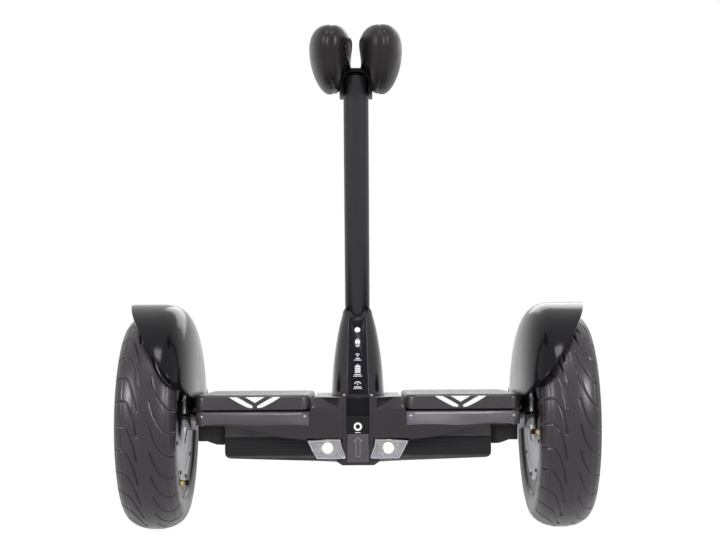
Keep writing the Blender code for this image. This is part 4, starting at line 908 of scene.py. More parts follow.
def tread_grooves(across, down, pitch, width):
    """How deep in a groove each point of the tread lies, and how near to the band along a groove's edge
    that takes a painted highlight.
    """
    slope, edge_out, line_half, highlight_share = 0.0007, 0.0006, 0.0009, 0.45
    depth = np.zeros(len(across))
    edge = np.zeros(len(across))
    local = np.mod(down, pitch)
    for knots, tip_at_end in ((LEFT_GROOVE, True), (RIGHT_GROOVE, False)):
        line = eased(knots)
        for repeat in (-1, 0, 1, 2):
            near, share = distance_to_line(np.stack((across, local + repeat * pitch), axis=1), line)
            to_tip = share if tip_at_end else 1 - share
            half = width / 2 * (0.92 + 0.28 * np.cos(2 * math.pi * to_tip))
            depth = np.maximum(depth, np.clip((half + 0.0003 - near) / slope, 0, 1))
            # Band just outside the groove's edge, towards its tip, which takes a painted highlight in the
            # finish
            worn = np.clip(1 - np.abs(near - half - edge_out) / slope, 0, 1)
            edge = np.maximum(edge, np.clip(1 - to_tip / highlight_share, 0, 1) * worn)
    for place, strength in TREAD_LINES:
        depth = np.maximum(depth, strength * np.clip(1 - np.abs(across - place) / line_half, 0, 1))
    return depth, edge * (1 - depth)


def build_tyre(side, name):
    """Casing with its S-shaped grooves pressed into the tread, the same way round on both wheels."""
    pitches = sizes().tread_pitches
    profile = tyre_outline(dense=84, coarse=3)
    bm = spun_by_sectors(profile, 30, pitches, Matrix.Translation((side * WHEEL_X, 0, AXLE_Z)))
    tyre = piece_from(f"{name}_tyre_treaded", bm, "tyre_rubber", f"{name}_wheel", (f"{name}_tyre",),
                      sharp=60)
    rows = coordinates(tyre.data)
    across = rows[:, 0] - side * WHEEL_X
    from_middle = np.abs(across)
    out_y, out_z = rows[:, 1], rows[:, 2] - AXLE_Z
    radius = np.hypot(out_y, out_z)
    down = -np.arctan2(out_z, -out_y) * TYRE_RADIUS

    # Only the outer skin takes the grooves
    lowest, shoulder_x, tread_depth = 0.1075, 0.0265, 0.0095
    outer = (radius > lowest) & ((from_middle > shoulder_x) | (radius > TYRE_RADIUS - tread_depth))
    outer &= ~((from_middle < TYRE_HALF_WIDTH - 0.006) & (radius < TYRE_RADIUS - 0.0085))
    depth = np.zeros(len(rows))
    edge = np.zeros(len(rows))
    pitch = 2 * math.pi * TYRE_RADIUS / pitches
    depth[outer], edge[outer] = tread_grooves(across[outer], down[outer], pitch, sizes().groove_width)

    # Towards the shoulder the grooves are pressed in more and more from the side
    lean = np.clip((from_middle - 0.020) / 0.012, 0, 1)
    drop = depth * sizes().groove_depth
    rows[:, 0] -= np.sign(across) * drop * lean * 0.8
    scale = (radius - drop * (1 - 0.55 * lean)) / radius
    rows[:, 1] = out_y * scale
    rows[:, 2] = out_z * scale + AXLE_Z
    moved_to(tyre.data, rows)
    # Depth drives the grooves' painted shade, and the edge band their painted highlight, in the tyre's
    # finish
    for label, values in (("groove", depth), ("edge", edge)):
        layer = tyre.data.attributes.new(label, "FLOAT", "POINT")
        layer.data.foreach_set("value", values.astype(np.float32))
    tyre.data.update()


# Wheels

RIM_EDGE = 0.0300
RIM_LIP = 0.0275
RIM_BORE = 0.074
HUB_FACE = 0.0235
# Rim: hub, closed face, outer bead seat, well, inner bead seat and bore: (outwards, radius)
RIM_OUTLINE = (
    (HUB_FACE, 0.0), (HUB_FACE, 0.0145), (0.0228, 0.0163), (0.0190, 0.0225), (0.0175, 0.0270),
    (0.0165, 0.040), (0.0172, 0.055), (0.0190, 0.070), (0.0250, 0.0775),
    (RIM_EDGE - 0.0017, 0.0805), (RIM_EDGE - 0.0013, 0.0870), (RIM_EDGE - 0.0007, 0.0893),
    (RIM_EDGE, 0.0900), (RIM_EDGE - 0.0013, 0.0900), (RIM_LIP, 0.0895), (RIM_LIP, 0.0825),
    (0.014, 0.0825), (0.011, 0.0775), (-0.011, 0.0775), (-0.014, 0.0825),
    (-RIM_LIP, 0.0825), (-RIM_LIP, 0.0895), (0.0013 - RIM_EDGE, 0.0900), (-RIM_EDGE, 0.0900),
    (0.0007 - RIM_EDGE, 0.0890), (0.0013 - RIM_EDGE, 0.0850), (0.0009 - RIM_EDGE, 0.0775),
    (-RIM_EDGE, 0.0762), (-RIM_EDGE, RIM_BORE), (0.012, RIM_BORE),
    (0.0125, 0.040), (0.013, 0.020), (0.010, 0.018), (0.010, 0.0086), (0.0195, 0.0086), (0.0195, 0.0),
)
# A rib of the closed face: (from the axle, across)
RIB_OUTLINE = ((0.0185, -0.0062), (0.050, -0.0036), (RIM_BORE, -0.0052), (RIM_BORE, 0.0052),
               (0.050, 0.0036), (0.0185, 0.0062))
RIB_COUNT = 5
RIB_FOOT = 0.0143
RIB_HEIGHT = 0.0072
# Hub cap: (out of the hub's face, radius)
CAP_OUTLINE = ((0.0, 0.0), (0.0, 0.0125), (0.0006, 0.0135), (0.0012, 0.0125), (0.0014, 0.0100),
               (0.0008, 0.0090), (0.0012, 0.0))
COVER_BORE = 0.0163
COVER_RADIUS = 0.0737
# Motor cover: (in from the rim's inner edge, radius)
COVER_OUTLINE = ((0.0, COVER_BORE + 0.0004), (0.0, 0.022), (0.0008, 0.0226), (0.0008, 0.0285),
                 (0.0, 0.0292), (0.0, 0.031), (0.002, 0.034), (0.0023, 0.048), (0.002, 0.061),
                 (0.0, 0.0645), (0.0, 0.0725), (0.0005, COVER_RADIUS), (0.0055, COVER_RADIUS),
                 (0.0055, COVER_BORE), (0.0004, COVER_BORE))
# Valve and its cap: (share of the way from the rim to the tip, radius)
STEM_OUTLINE = ((0, 0), (0, 0.0038), (0.06, 0.0040), (0.22, 0.0036), (0.34, 0.0029), (0.52, 0.0029),
                (0.53, 0.0025), (0.60, 0.0025), (0.60, 0.0))
VALVE_CAP_OUTLINE = ((0.60, 0), (0.60, 0.0030), (0.64, 0.0032), (0.96, 0.0030), (1.0, 0.0024), (1.0, 0))


def bolt(place, radius, height):
    """A small socket-head bolt."""
    bm = bmesh.new()
    bmesh.ops.create_cone(bm, cap_ends=True, segments=16, radius1=radius, radius2=radius, depth=height)
    top = [f for f in bm.faces if f.normal.z > 0.9]
    bmesh.ops.inset_region(bm, faces=top, thickness=radius * 0.45, depth=0)
    socket = list({v for f in top for v in f.verts})
    bmesh.ops.translate(bm, verts=socket, vec=(0, 0, -height * 0.45))
    upper = {v for v in bm.verts if v.co.z > height * 0.4}
    rim = [e for e in bm.edges if e.calc_face_angle(0) > 1.0 and upper.issuperset(e.verts)]
    bmesh.ops.bevel(bm, geom=rim, offset=radius * 0.12, segments=1, profile=0.5, affect="EDGES",
                    material=-1)
    bmesh.ops.transform(bm, matrix=place, verts=bm.verts)
    return bm


def bolt_ring(side, outward, facing, count, start, ring_radius, radius, height):
    """Bolts round the axle, so far out from the wheel's middle, facing outwards (1) or inwards (-1)."""
    bolts = []
    for i in range(count):
        turn = 2 * math.pi * (i + start) / count
        spot = (side * (WHEEL_X + outward),
                ring_radius * math.sin(turn),
                AXLE_Z + ring_radius * math.cos(turn))
        bolts.append(bolt(framed(spot, (0, facing * side, 0), (0, 0, 1)), radius, height))
    return gathered(*bolts)


def wheel_place(side, outward=0.0):
    """A place on the wheel's axis, so far out from its middle, with X pointing outwards."""
    return Matrix.Translation((side * (WHEEL_X + outward), 0, AXLE_Z)) @ Matrix.Diagonal((side, 1, 1, 1))


def build_rim(side, name):
    """Cast rim with raised ribs on its closed outer face, a hub cap and bolts."""
    body = f"{name}_wheel"
    rim = piece_from(f"{name}_rim_cast", spun(RIM_OUTLINE, 96, wheel_place(side)), None, body,
                     (f"{name}_rim",))
    ribs = []
    for i in range(RIB_COUNT):
        turn = 2 * math.pi * i / RIB_COUNT
        across = Vector((0, math.sin(turn), math.cos(turn)))
        up = Vector((0, math.cos(turn), -math.sin(turn))) * -side
        foot = (side * (WHEEL_X + RIB_FOOT), 0, AXLE_Z)
        ribs.append(loose(f"rib_{i}", extruded(RIB_OUTLINE, RIB_HEIGHT, framed(foot, across, up))))
    carved(rim, *ribs, operation="UNION")
    softened(rim, 0.0007, 2, 38)
    dressed(rim, "rim_metal")
    cap = spun(CAP_OUTLINE, 48, wheel_place(side, HUB_FACE))
    piece_from(f"{name}_hub_cap", cap, "gloss_black", body)
    bolts = bolt_ring(side, 0.0168, 1, RIB_COUNT, 0.5, ring_radius=0.0615, radius=0.0032, height=0.0040)
    piece_from(f"{name}_outer_bolts", bolts, "bolt_steel", body)


def build_motor_cover(side, name):
    """Turned side plate of the hub motor, with its ring of bolts."""
    body = f"{name}_wheel"
    profile = [(along - RIM_EDGE, radius) for along, radius in COVER_OUTLINE]
    cover = spun(profile, 96, wheel_place(side), closed=True)
    piece_from(f"{name}_motor_cover_turned", cover, "silver_metal", body, (f"{name}_motor_cover",))
    bolts = bolt_ring(side, -RIM_EDGE - 0.0006, -1, 9, 0.25, ring_radius=0.0685, radius=0.0024,
                      height=0.0016)
    piece_from(f"{name}_cover_bolts", bolts, "bolt_steel", body)


def build_valve(side, name):
    """Brass valve with a rubber cap, from the rim towards the scooter's middle."""
    low, high = box_of(f"{name}_valve")
    centre = (low + high) / 2
    root, tip = (high, low) if side > 0 else (low, high)
    start, end = (root.x, centre.y, centre.z), (tip.x, centre.y, centre.z)
    stem = turned_between(STEM_OUTLINE, start, end, 24)
    piece_from(f"{name}_valve_stem", stem, "brass", f"{name}_wheel", (f"{name}_valve",))
    cap = turned_between(VALVE_CAP_OUTLINE, start, end, 12)
    piece_from(f"{name}_valve_cap", cap, "soft_rubber", f"{name}_wheel")


# Fenders

FENDER_WALL = 0.003
# How square the shell's shoulder is, and how steeply its lip falls
FENDER_ROUNDNESS = 3.5
LIP_SLOPE = 1.4
# The lip bows out by this much, over this fall
LIP_BOW = 0.0042
LIP_BOW_FALL = 0.108
ARCH_STEPS = 60
LEDGE_REACH = 0.0592
LEDGE_HEIGHT = 0.0028


def between(first, second, share):
    return first[0] + (second[0] - first[0]) * share, first[1] + (second[1] - first[1]) * share


class FenderShape:
    """The shell over one wheel, worked out for the right side from the node's box."""

    def __init__(self, name):
        low, high = box_of(f"{name}_fender")
        self.tip_z = high.z
        self.bottom = low.z
        self.top = high.z - AXLE_Z
        self.outer_x = max(abs(low.x), abs(high.x))
        self.wall_x = DECK_END + 0.004
        self.crown_x = WHEEL_X + 0.0015
        self.heel_x = self.wall_x + 0.004
        span = self.crown_x - self.wall_x
        exponent = 2 / FENDER_ROUNDNESS
        self.arch = []
        for i in range(ARCH_STEPS + 1):
            angle = math.radians(90 * i / ARCH_STEPS)
            self.arch.append((self.crown_x - span * math.cos(angle) ** exponent,
                              self.top * math.sin(angle) ** exponent))

    def lip_x(self, z):
        """How far out the shell reaches at a height."""
        fall = self.tip_z - z
        straight = self.outer_x - fall / LIP_SLOPE
        bow = LIP_BOW * math.sin(math.pi * min(max(fall / LIP_BOW_FALL, 0), 1))
        return max(min(straight + bow, self.outer_x), self.heel_x)

    def past_lip(self, point, phi, spare=0.0):
        x, radius = point
        return x > self.lip_x(AXLE_Z + radius * math.sin(phi)) + spare

    def cut_at_lip(self, phi):
        """The arch at an angle round the axle, up to where the lip cuts it."""
        line = self.arch + [(self.outer_x + 0.004, self.top)]
        count = next((i for i, point in enumerate(line) if self.past_lip(point, phi, 1e-6)), len(line))
        kept = line[:count]
        last, following = kept[-1], line[min(count, len(line) - 1)]
        near, far = 0.0, 1.0
        for _ in range(18):
            share = (near + far) / 2
            point = between(last, following, share)
            near, far = (near, share) if self.past_lip(point, phi) else (share, far)
        return kept + [between(last, following, near)]

    def rib(self, side, phi, columns=30):
        """One line of the shell, from the deck side up over the crown and out to the lip."""
        floor_radius = (self.bottom - AXLE_Z) / max(math.sin(phi), 1e-3)
        kept = self.cut_at_lip(phi)
        kept = [point for point in kept if point[1] >= floor_radius] or kept[-2:]
        first_x = float(np.interp(floor_radius, [p[1] for p in self.arch], [p[0] for p in self.arch]))
        path = np.array([(first_x, floor_radius)] + kept)
        along = np.concatenate(([0], np.cumsum(np.hypot(*np.diff(path, axis=0).T) + 1e-9)))
        stops = np.linspace(0, along[-1], columns)
        xs = np.interp(stops, along, path[:, 0]).tolist()
        radii = np.interp(stops, along, path[:, 1]).tolist()
        return [(side * x, -radius * math.cos(phi), AXLE_Z + radius * math.sin(phi))
                for x, radius in zip(xs, radii)]


def build_fender(side, name):
    """Moulded shell over the wheel's inner half; its lip falls from the tip to the deck."""
    shape = FenderShape(name)
    start = math.asin((shape.bottom - AXLE_Z) / shape.top) + 0.012
    turns = np.linspace(start, math.pi - start, 97)
    bm = bridged([shape.rib(side, float(phi)) for phi in turns], closed=False, capped=False)
    shell = piece_from(f"{name}_fender_moulded", bm, "fender_black", "chassis", (f"{name}_fender",),
                       sharp=50)
    crown_face = max(shell.data.polygons, key=lambda f: f.center.z)
    if crown_face.normal.z < 0:
        shell.data.flip_normals()
    walled(shell, FENDER_WALL, even=True)
    softened(shell, 0.0009, 3, 50, 50)
    ledge_ends = sorted((side * (DECK_END - 0.014), side * (shape.wall_x + 0.0024)))
    ledge = boxed((ledge_ends[0], -LEDGE_REACH, shape.bottom),
                  (ledge_ends[1], LEDGE_REACH, shape.bottom + LEDGE_HEIGHT))
    piece_from(f"{name}_fender_ledge", bevelled(ledge, 0.0004), "fender_black", "chassis")


# Deck

DECK_CORNER = 0.012
# Short grooves in a mat's top
GROOVE_ROWS = 12
GROOVE_COLUMNS = 6
GROOVE_REACH = 0.076
GROOVE_SPACING = 0.0182
GROOVE_SHIFT = 0.0040
GROOVE_TURN = math.radians(32)
GROOVE_LENGTH = 0.0135
GROOVE_WIDTH = 0.0018
# Marks on a mat's front: (across from their middle, down from the mat's top)
SIDE_BAR = ((0.0290, 0.0022), (0.0205, 0.0022), (0.0140, 0.0056), (0.0030, 0.0120), (0.0022, 0.0136),
            (0.0040, 0.0146), (0.0085, 0.0138), (0.0180, 0.0090), (0.0250, 0.0050))
MIDDLE_WEDGE = ((0.0110, 0.0022), (0.0, 0.0088), (-0.0110, 0.0022))
BAND_TOP = 0.1408
BAND_FOOT = 0.1262
BAND_PROUD = 0.00015
# The battery case's underside rises this much from its middle to its ends
KEEL_RISE = 0.0045
KEEL_RUN = 0.15
SCOOP_NEAR = 0.0205
SCOOP_FAR = 0.0462
SCOOP_FOOT = 0.136


def rounded_plan(inset, side, corner_steps=10):
    """Plan of a foot mat, drawn in by an inset."""
    inner, outer, deep = MAT_INNER_X + inset, DECK_END - inset, DECK_FACE - inset
    radius = DECK_CORNER - inset
    corners = ((outer - radius, -deep + radius, -90), (outer - radius, deep - radius, 0),
               (inner + radius, deep - radius, 90), (inner + radius, -deep + radius, 180))
    points = []
    for x, y, start in corners:
        points += arc(x, y, radius, start, start + 90, corner_steps)
    return [(side * x, y) for x, y in points]


def pill(length, width, depth, place):
    """A low block with round ends, which cuts a short groove."""
    radius = width / 2
    half = length / 2 - radius
    outline = arc(half, 0, radius, -90, 90, 5) + arc(-half, 0, radius, 90, 270, 5)
    return extruded(outline, depth, place)


def mat_grooves(side, depth):
    """Cutters for the short grooves, which slant one way and then the other from row to row."""
    cutters = []
    for row in range(GROOVE_ROWS):
        y = -GROOVE_REACH + 2 * GROOVE_REACH * row / (GROOVE_ROWS - 1)
        way = 1 if row % 2 else -1
        turn = Matrix.Rotation(way * GROOVE_TURN, 4, "Z")
        for column in range(GROOVE_COLUMNS):
            offset = (column - (GROOVE_COLUMNS - 1) / 2) * GROOVE_SPACING + way * GROOVE_SHIFT
            place = Matrix.Translation((side * MAT_X + offset, y, MAT_TOP - depth))
            cutters.append(pill(GROOVE_LENGTH, GROOVE_WIDTH, depth + 0.002, place @ turn))
    return gathered(*cutters)


def build_mat(side, name):
    """Foot mat with a soft edge and short slanted grooves, hollowed over its sensor."""
    levels = ((0.0006, MAT_BOTTOM), (0.0, MAT_BOTTOM + 0.0006), (0.0, MAT_TOP - 0.0042),
              (0.0004, MAT_TOP - 0.0027), (0.0012, MAT_TOP - 0.0014), (0.0022, MAT_TOP - 0.0006),
              (0.0034, MAT_TOP - 0.0001), (0.0046, MAT_TOP))
    bm = bridged([[(x, y, z) for x, y in rounded_plan(inset, side)] for inset, z in levels])
    mat = piece_from(f"{name}_mat_moulded", bm, None, f"{name}_mat", (f"{name}_foot_mat",),
                     sharp=50)
    low, high = box_of(f"{name}_foot_sensor")
    room = Vector((0.001, 0.001, 0.002))
    recess = boxed((low.x - room.x, low.y - room.y, MAT_BOTTOM - room.z), high + room)
    grooves = mat_grooves(side, sizes().mat_groove_depth)
    carved(mat, loose("grooves", grooves), loose("recess", recess))
    shaded(mat.data, 40)
    dressed(mat, "mat_rubber")


def slanted_marks(side, name):
    """White slanted bars on the mat's front, pointing at its middle."""
    outlines = [[(way * x, MAT_TOP - down) for x, down in SIDE_BAR] for way in (-1, 1)]
    outlines.append([(x, MAT_TOP - down) for x, down in MIDDLE_WEDGE])
    place = facing_front(-DECK_FACE - PRINT_GAP, side * MAT_X - side * 0.003)
    marks_piece(f"{name}_mat_marks", outlines, place, f"{name}_mat")


def build_band(side, name):
    """Smooth band along the bumper, from the mat's inner end round the corner, with a wavering foot."""
    path = [(MAT_INNER_X + 0.001 + 0.0115 * i, -DECK_FACE - BAND_PROUD) for i in range(10)]
    path += arc(DECK_END - DECK_CORNER, -DECK_FACE + DECK_CORNER, DECK_CORNER + BAND_PROUD, -90, 0, 10)
    path += [(DECK_END + BAND_PROUD, -0.0625)]
    rings = []
    for i, (x, y) in enumerate(path):
        sag = 0.0009 * math.sin(i * 0.9) - 0.0006 * math.cos(i * 0.37)
        heights = (BAND_TOP, (BAND_TOP + BAND_FOOT) / 2, BAND_FOOT + sag)
        rings.append([(side * x, y, z) for z in heights])
    bm = bridged(rings, closed=False, capped=False)
    # The band's pale finish is a painted reflection of a film's sheen
    band = piece_from(f"{name}_bumper_band", bm, "bumper_band", "chassis", sharp=60)
    if band.data.polygons[0].normal.y > 0:
        band.data.flip_normals()
    walled(band, 0.0003)


def build_battery():
    """Battery case with moulded lines along its sides and screws underneath."""
    refined("battery_case", "dark_plastic", 0.0011, 3)
    low, high = box_of("battery_case")
    lines = []
    for face in (-1, 1):
        near, far = sorted((face * (high.y + 0.0004), face * (high.y - 0.0006)))
        for z in (high.z - 0.0035, high.z - 0.0075, high.z - 0.0115):
            line = boxed((low.x + 0.006, near, z - 0.0006), (high.x - 0.006, far, z + 0.0006))
            lines.append(bevelled(line, 0.0003))
    piece_from("battery_case_lines", gathered(*lines), "dark_plastic", "chassis")
    screws = []
    for side in (-1, 1):
        for x in (0.030, 0.080, 0.130):
            rise = KEEL_RISE * (x - 0.002) / KEEL_RUN
            for y in (-0.034, 0.034):
                spot = (side * x, y, low.z + 0.0024 + rise)
                screws.append(bolt(framed(spot, (1, 0, 0), (0, -1, 0)), 0.0034, 0.0040))
    piece_from("battery_case_screws", gathered(*screws), "bolt_steel", "chassis")


def in_scoop(face):
    """Whether a face of the front cover lies in one of the hood's two scoops."""
    beside = SCOOP_NEAR < abs(face.center.x) < SCOOP_FAR
    turned = face.normal.y > -0.996 and face.normal.z < 0.97
    return beside and face.center.z > SCOOP_FOOT and turned


def build_covers():
    """Bumpers, hood and inlay with rounded edges; the hood's two scoops take a darker finish as painted
    shade.
    """
    cover = refined("front_cover", "gloss_black")
    # Painted shade: the faces in the scoops get the darker black
    cover.data.materials.append(finish("scoop_painted_shade"))
    for face in cover.data.polygons:
        if in_scoop(face):
            face.material_index = 1
    refined("back_cover", "gloss_black")
    refined("pivot_cover", "inlay_black", 0.0004)


# Front panel and lamps

# The nose's outlined arrow, drawn round its outside and its inside: (across, up from the ground)
ARROW_OUTER = ((0.0, 0.1126), (0.0052, 0.1082), (0.0026, 0.1082), (0.0026, 0.0905), (-0.0026, 0.0905),
               (-0.0026, 0.1082), (-0.0052, 0.1082))
ARROW_INNER = ((0.0, 0.1117), (0.0036, 0.1087), (0.0020, 0.1087), (0.0020, 0.0911), (-0.0020, 0.0911),
               (-0.0020, 0.1087), (-0.0036, 0.1087))
LENS_RIM_INSET = 0.0007
LENS_RIM_WIDTH = 0.0008
LENS_RIM_HEIGHT = 0.0004
# Lamp: glowing dome and metal collar: (share of the chip's depth, radius)
DOME_OUTLINE = ((0.0, 0.0), (0.0, 0.0052), (0.70, 0.0052), (0.90, 0.0043), (1.0, 0.0024), (1.02, 0.0))
COLLAR_OUTLINE = ((0.0, 0.0072), (0.0, 0.0078), (0.9, 0.0078), (1.0, 0.0074), (1.0, 0.0067),
                  (0.2, 0.0066), (0.0, 0.0072))


def build_front_panel():
    """Nose panel with its outlined arrow, and the charging flap with a ring and a bar."""
    refined("nose_panel", "grey_plastic", 0.0005)
    refined("charge_port_flap", "satin_plastic", 0.0006, 3)
    flap_marks = [ring_mark(0.0047, 0.0022, cy=SOCKET_Z + 0.0018),
                  bar_mark(0.0066, 0.0006, cy=SOCKET_Z - 0.0049)]
    flap_face = box_of("charge_port_flap")[0].y
    marks_piece("charge_port_marks", flap_marks, facing_front(flap_face - PRINT_GAP), "flap")
    nose_face = box_of("nose_panel")[0].y
    line = [*ARROW_OUTER, ARROW_OUTER[0], ARROW_INNER[0], *reversed(ARROW_INNER)]
    arrow = extruded(line, sizes().print_thickness * 0.6, facing_front(nose_face - PRINT_GAP))
    piece_from("nose_arrow", arrow, "reflector", "chassis")


def drawn_inside(bm, faces, distance):
    """A line drawn inside the faces' outer edge; gives the faces between."""
    return bmesh.ops.inset_region(bm, faces=faces, thickness=distance, depth=0, use_boundary=True,
                                  use_even_offset=True)["faces"]


def build_lens_rim(name):
    """Raised pale line along the edge of a front lens."""
    bm = merged_copy(f"{name}_lamp_lens")
    bm.normal_update()
    bmesh.ops.delete(bm, geom=[f for f in bm.faces if f.normal.y > -0.9], context="FACES")
    flats_joined(bm)
    drawn_inside(bm, bm.faces[:], LENS_RIM_INSET)
    ring = drawn_inside(bm, [max(bm.faces, key=lambda f: f.calc_area())], LENS_RIM_WIDTH)
    bmesh.ops.delete(bm, geom=[f for f in bm.faces if f not in ring], context="FACES")
    grown = bmesh.ops.extrude_face_region(bm, geom=bm.faces[:])
    moved = [v for v in grown["geom"] if isinstance(v, bmesh.types.BMVert)]
    bmesh.ops.translate(bm, verts=moved, vec=(0, -LENS_RIM_HEIGHT, 0))
    bmesh.ops.recalc_face_normals(bm, faces=bm.faces)
    piece_from(f"{name}_lens_rim", bm, "lens_edge", "chassis")


def build_lamps():
    """Front lamps with a dome, a collar and a rimmed lens, and the back lenses."""
    for side, name in SIDES:
        refined(f"{name}_lamp_housing", "reflector", 0.0003)
        refined(f"{name}_lamp_lens", "clear_lens", 0.0006, 3)
        refined(f"{name}_back_lamp_lens", "back_lens", 0.0006, 3)
        build_lens_rim(name)
        low, high = box_of(f"{name}_lamp_chip")
        back = (side * LAMP_X, high.y, LAMP_Z)
        dome = turned_between(DOME_OUTLINE, back, (side * LAMP_X, low.y + 0.0002, LAMP_Z), 40)
        piece_from(f"{name}_lamp_dome", dome, "lamp_glow", "chassis", (f"{name}_lamp_chip",))
        collar = turned_between(COLLAR_OUTLINE, back, (side * LAMP_X, low.y + 0.0003, LAMP_Z), 40)
        piece_from(f"{name}_lamp_collar", collar, "silver_metal", "chassis")


# Steering neck

# Wall of the mouldings at the sides and at the front, half the gap at their seam, and the shaft's room
NECK_WALL = 0.0023
NECK_FRONT_WALL = 0.006
NECK_SEAM_HALF = 0.00015
SHAFT_ROOM = 0.0076
# Above this height the neck closes round the bar, this far in front of its axis
COLLAR_Z = 0.250
COLLAR_FRONT = 0.0172
# Well outside the object, for cutters that run right through
FAR = 0.2


def bar_y(z):
    return BAR_PASSES[0] - (z - BAR_PASSES[1]) * math.tan(BAR_LEAN)


def bar_point(z):
    return Vector((0, bar_y(z), z))


def neck_front(z):
    return DRUM_FRONT_Y + 0.0004 + (z - NECK_FOOT_Z) * NECK_SLOPE


def neck_back(z):
    return bar_y(z) + 0.0222 + max(0.0, 0.258 - z) * 0.018


def smooth_levels(count=44):
    """Levels and half widths of the neck, eased between the ones it is drawn by."""
    levels = np.linspace(NECK_LEVELS[0], NECK_LEVELS[-1], count)
    widths = np.interp(levels, NECK_LEVELS, NECK_HALF_WIDTHS)
    for _ in range(3):
        inner = (widths[:-2] + 2 * widths[1:-1] + widths[2:]) / 4
        widths[2:-1] = inner[1:]
    return list(zip(levels.tolist(), widths.tolist()))


def neck_ring(z, half_width, wall_side, wall_front, count=72):
    """The neck's outline at a height: nearly square at the foot and rounder above."""
    exponent = 3.0 - 0.95 * min(max((z - NECK_FOOT_Z) / 0.1, 0), 1)
    front = neck_front(z) + wall_front
    back = neck_back(z) - wall_side
    if z > COLLAR_Z:
        front = min(front, bar_y(z) - COLLAR_FRONT + min(wall_front, wall_side))
    half = half_width - wall_side
    centre, depth = (front + back) / 2, (back - front) / 2
    turns = [2 * math.pi * (i + 0.5) / count for i in range(count)]
    return [(half * power(math.cos(turn), 2 / exponent),
             centre + depth * power(math.sin(turn), 2 / exponent), z) for turn in turns]


def drum_outline(inset):
    radius, top = DRUM_RADIUS - inset, DRUM_TOP - inset
    start = math.degrees(math.asin((DRUM_BOTTOM - PIVOT_Z) / radius))
    end = math.degrees(math.asin((top - PIVOT_Z) / radius))
    return mirrored(arc(0, PIVOT_Z, radius, end, start, 16))


def along_y(outline, low, high):
    """An (X, Z) outline extruded along Y."""
    return extruded(outline, high - low, facing_front(high))


def along_x(outline, low, high):
    """A (Y, Z) outline extruded along X."""
    return extruded(outline, high - low, framed((low, 0, 0), (0, 1, 0), (0, 0, 1)))


def strip_point(z, depth=0.0):
    return Vector((0, neck_front(z), z)) - STRIP_OUT * depth


def neck_cutters(hollow):
    """What is taken out of either moulding: its hollow, and the room of what passes through it."""
    open_drum = [(x, z if z > DRUM_BOTTOM + 0.001 else DRUM_BOTTOM - 0.002)
                 for x, z in drum_outline(NECK_WALL)]
    drum_back = DRUM_BACK_Y - NECK_WALL - 0.0005
    shaft = arc(0, PIVOT_Z, SHAFT_ROOM, 0, 180, 16) + [(-SHAFT_ROOM, 0.13), (SHAFT_ROOM, 0.13)]
    bore = BAR_RADIUS + 0.0003
    bar = turned_between([(0, 0), (0, bore), (1, bore), (1, 0)], bar_point(0.20), bar_point(0.30), 64)
    collar_top = ((-0.05, 0.290), (0.0, 0.2680), (0.060, 0.2416), (0.060, 0.32), (-0.05, 0.32))
    notch = arc(0, 0.2585, 0.0072, 180, 360, 20) + [(0.0095, 0.29), (-0.0095, 0.29)]
    strip_end = STRIP_LENGTH + 0.0003
    strip = ((STRIP_FOOT_HALF, -0.0003), (STRIP_TOP_HALF, strip_end), (-STRIP_TOP_HALF, strip_end),
             (-STRIP_FOOT_HALF, -0.0003))
    strip_seat = framed(strip_point(STRIP_FOOT_Z, 0.0025), (1, 0, 0), STRIP_UP)
    return (
        ("hollow", bridged(hollow)),
        ("drum_hollow", along_y(open_drum, DRUM_FRONT_Y + NECK_WALL, drum_back)),
        ("shaft_slot", along_y(shaft, -FAR, FAR)),
        ("bar_bore", bar),
        ("collar_top", along_x(collar_top, -0.05, 0.05)),
        ("notch", along_y(notch, -0.05, bar_y(0.26))),
        ("strip", extruded(strip, 0.02, strip_seat)),
    )


def build_neck():
    """The neck's two mouldings round the bar, on the drum that turns in the hood."""
    levels = smooth_levels()
    rings = [neck_ring(z, w, 0, 0) for z, w in levels]
    hollow = [neck_ring(z, w, NECK_WALL, NECK_FRONT_WALL) for z, w in levels if z < 0.246]
    for stack in (rings, hollow):
        stack.insert(0, [(x, y, NECK_FOOT_Z - 0.007) for x, y, _ in stack[0]])
    halves = (("front", -FAR, NECK_SEAM_Y - NECK_SEAM_HALF), ("back", NECK_SEAM_Y + NECK_SEAM_HALF, FAR))
    for part, low, high in halves:
        node = f"neck_shell_{part}"
        shell = piece_from(f"{node}_moulded", bridged(rings), None, "steering", (node,))
        drum = along_y(drum_outline(0), DRUM_FRONT_Y, DRUM_BACK_Y)
        carved(shell, loose("drum", drum), operation="UNION")
        for label, cutter in neck_cutters(hollow):
            carved(shell, loose(label, cutter))
        keep = loose("keep", boxed((-FAR, low, 0.05), (FAR, high, 0.4)))
        carved(shell, keep, operation="INTERSECT")
        shaded(shell.data, 28)
        dressed(shell, "neck_black")


def icons():
    """Generic icons: height on the strip, outlines, and the drop and widths of the blocks below."""
    lock = [bow_mark(0.0010, 0.0022, 0.0009, 0, 180, 10), bar_mark(0.0056, 0.0042, cy=-0.0011)]
    signal = [bow_mark(-0.0020, radius, 0.0007, 40, 140, 10) for radius in (0.0018, 0.0034)]
    signal.append(arc(0, -0.0020, 0.0007, 0, 330, 10))
    charge = [bar_mark(0.0028, 0.0010, cy=0.0050)]
    charge += [bar_mark(0.0066, 0.0017, cy=0.0032 - 0.0024 * i) for i in range(4)]
    gauge = [bow_mark(-0.0014, 0.0044, 0.0011, 15, 165, 14),
             [(0.0007, -0.0016), (0.0002, 0.0012), (-0.0002, 0.0012), (-0.0007, -0.0016)]]
    return ((0.2215, lock, 0.0052, 0.0055, 0.0034), (0.2055, signal, 0.0052, 0.0048, 0.0090),
            (0.1885, charge, 0.0073, 0.0082, 0.0106), (0.1712, gauge, 0.0042, 0.0086, 0.0106))


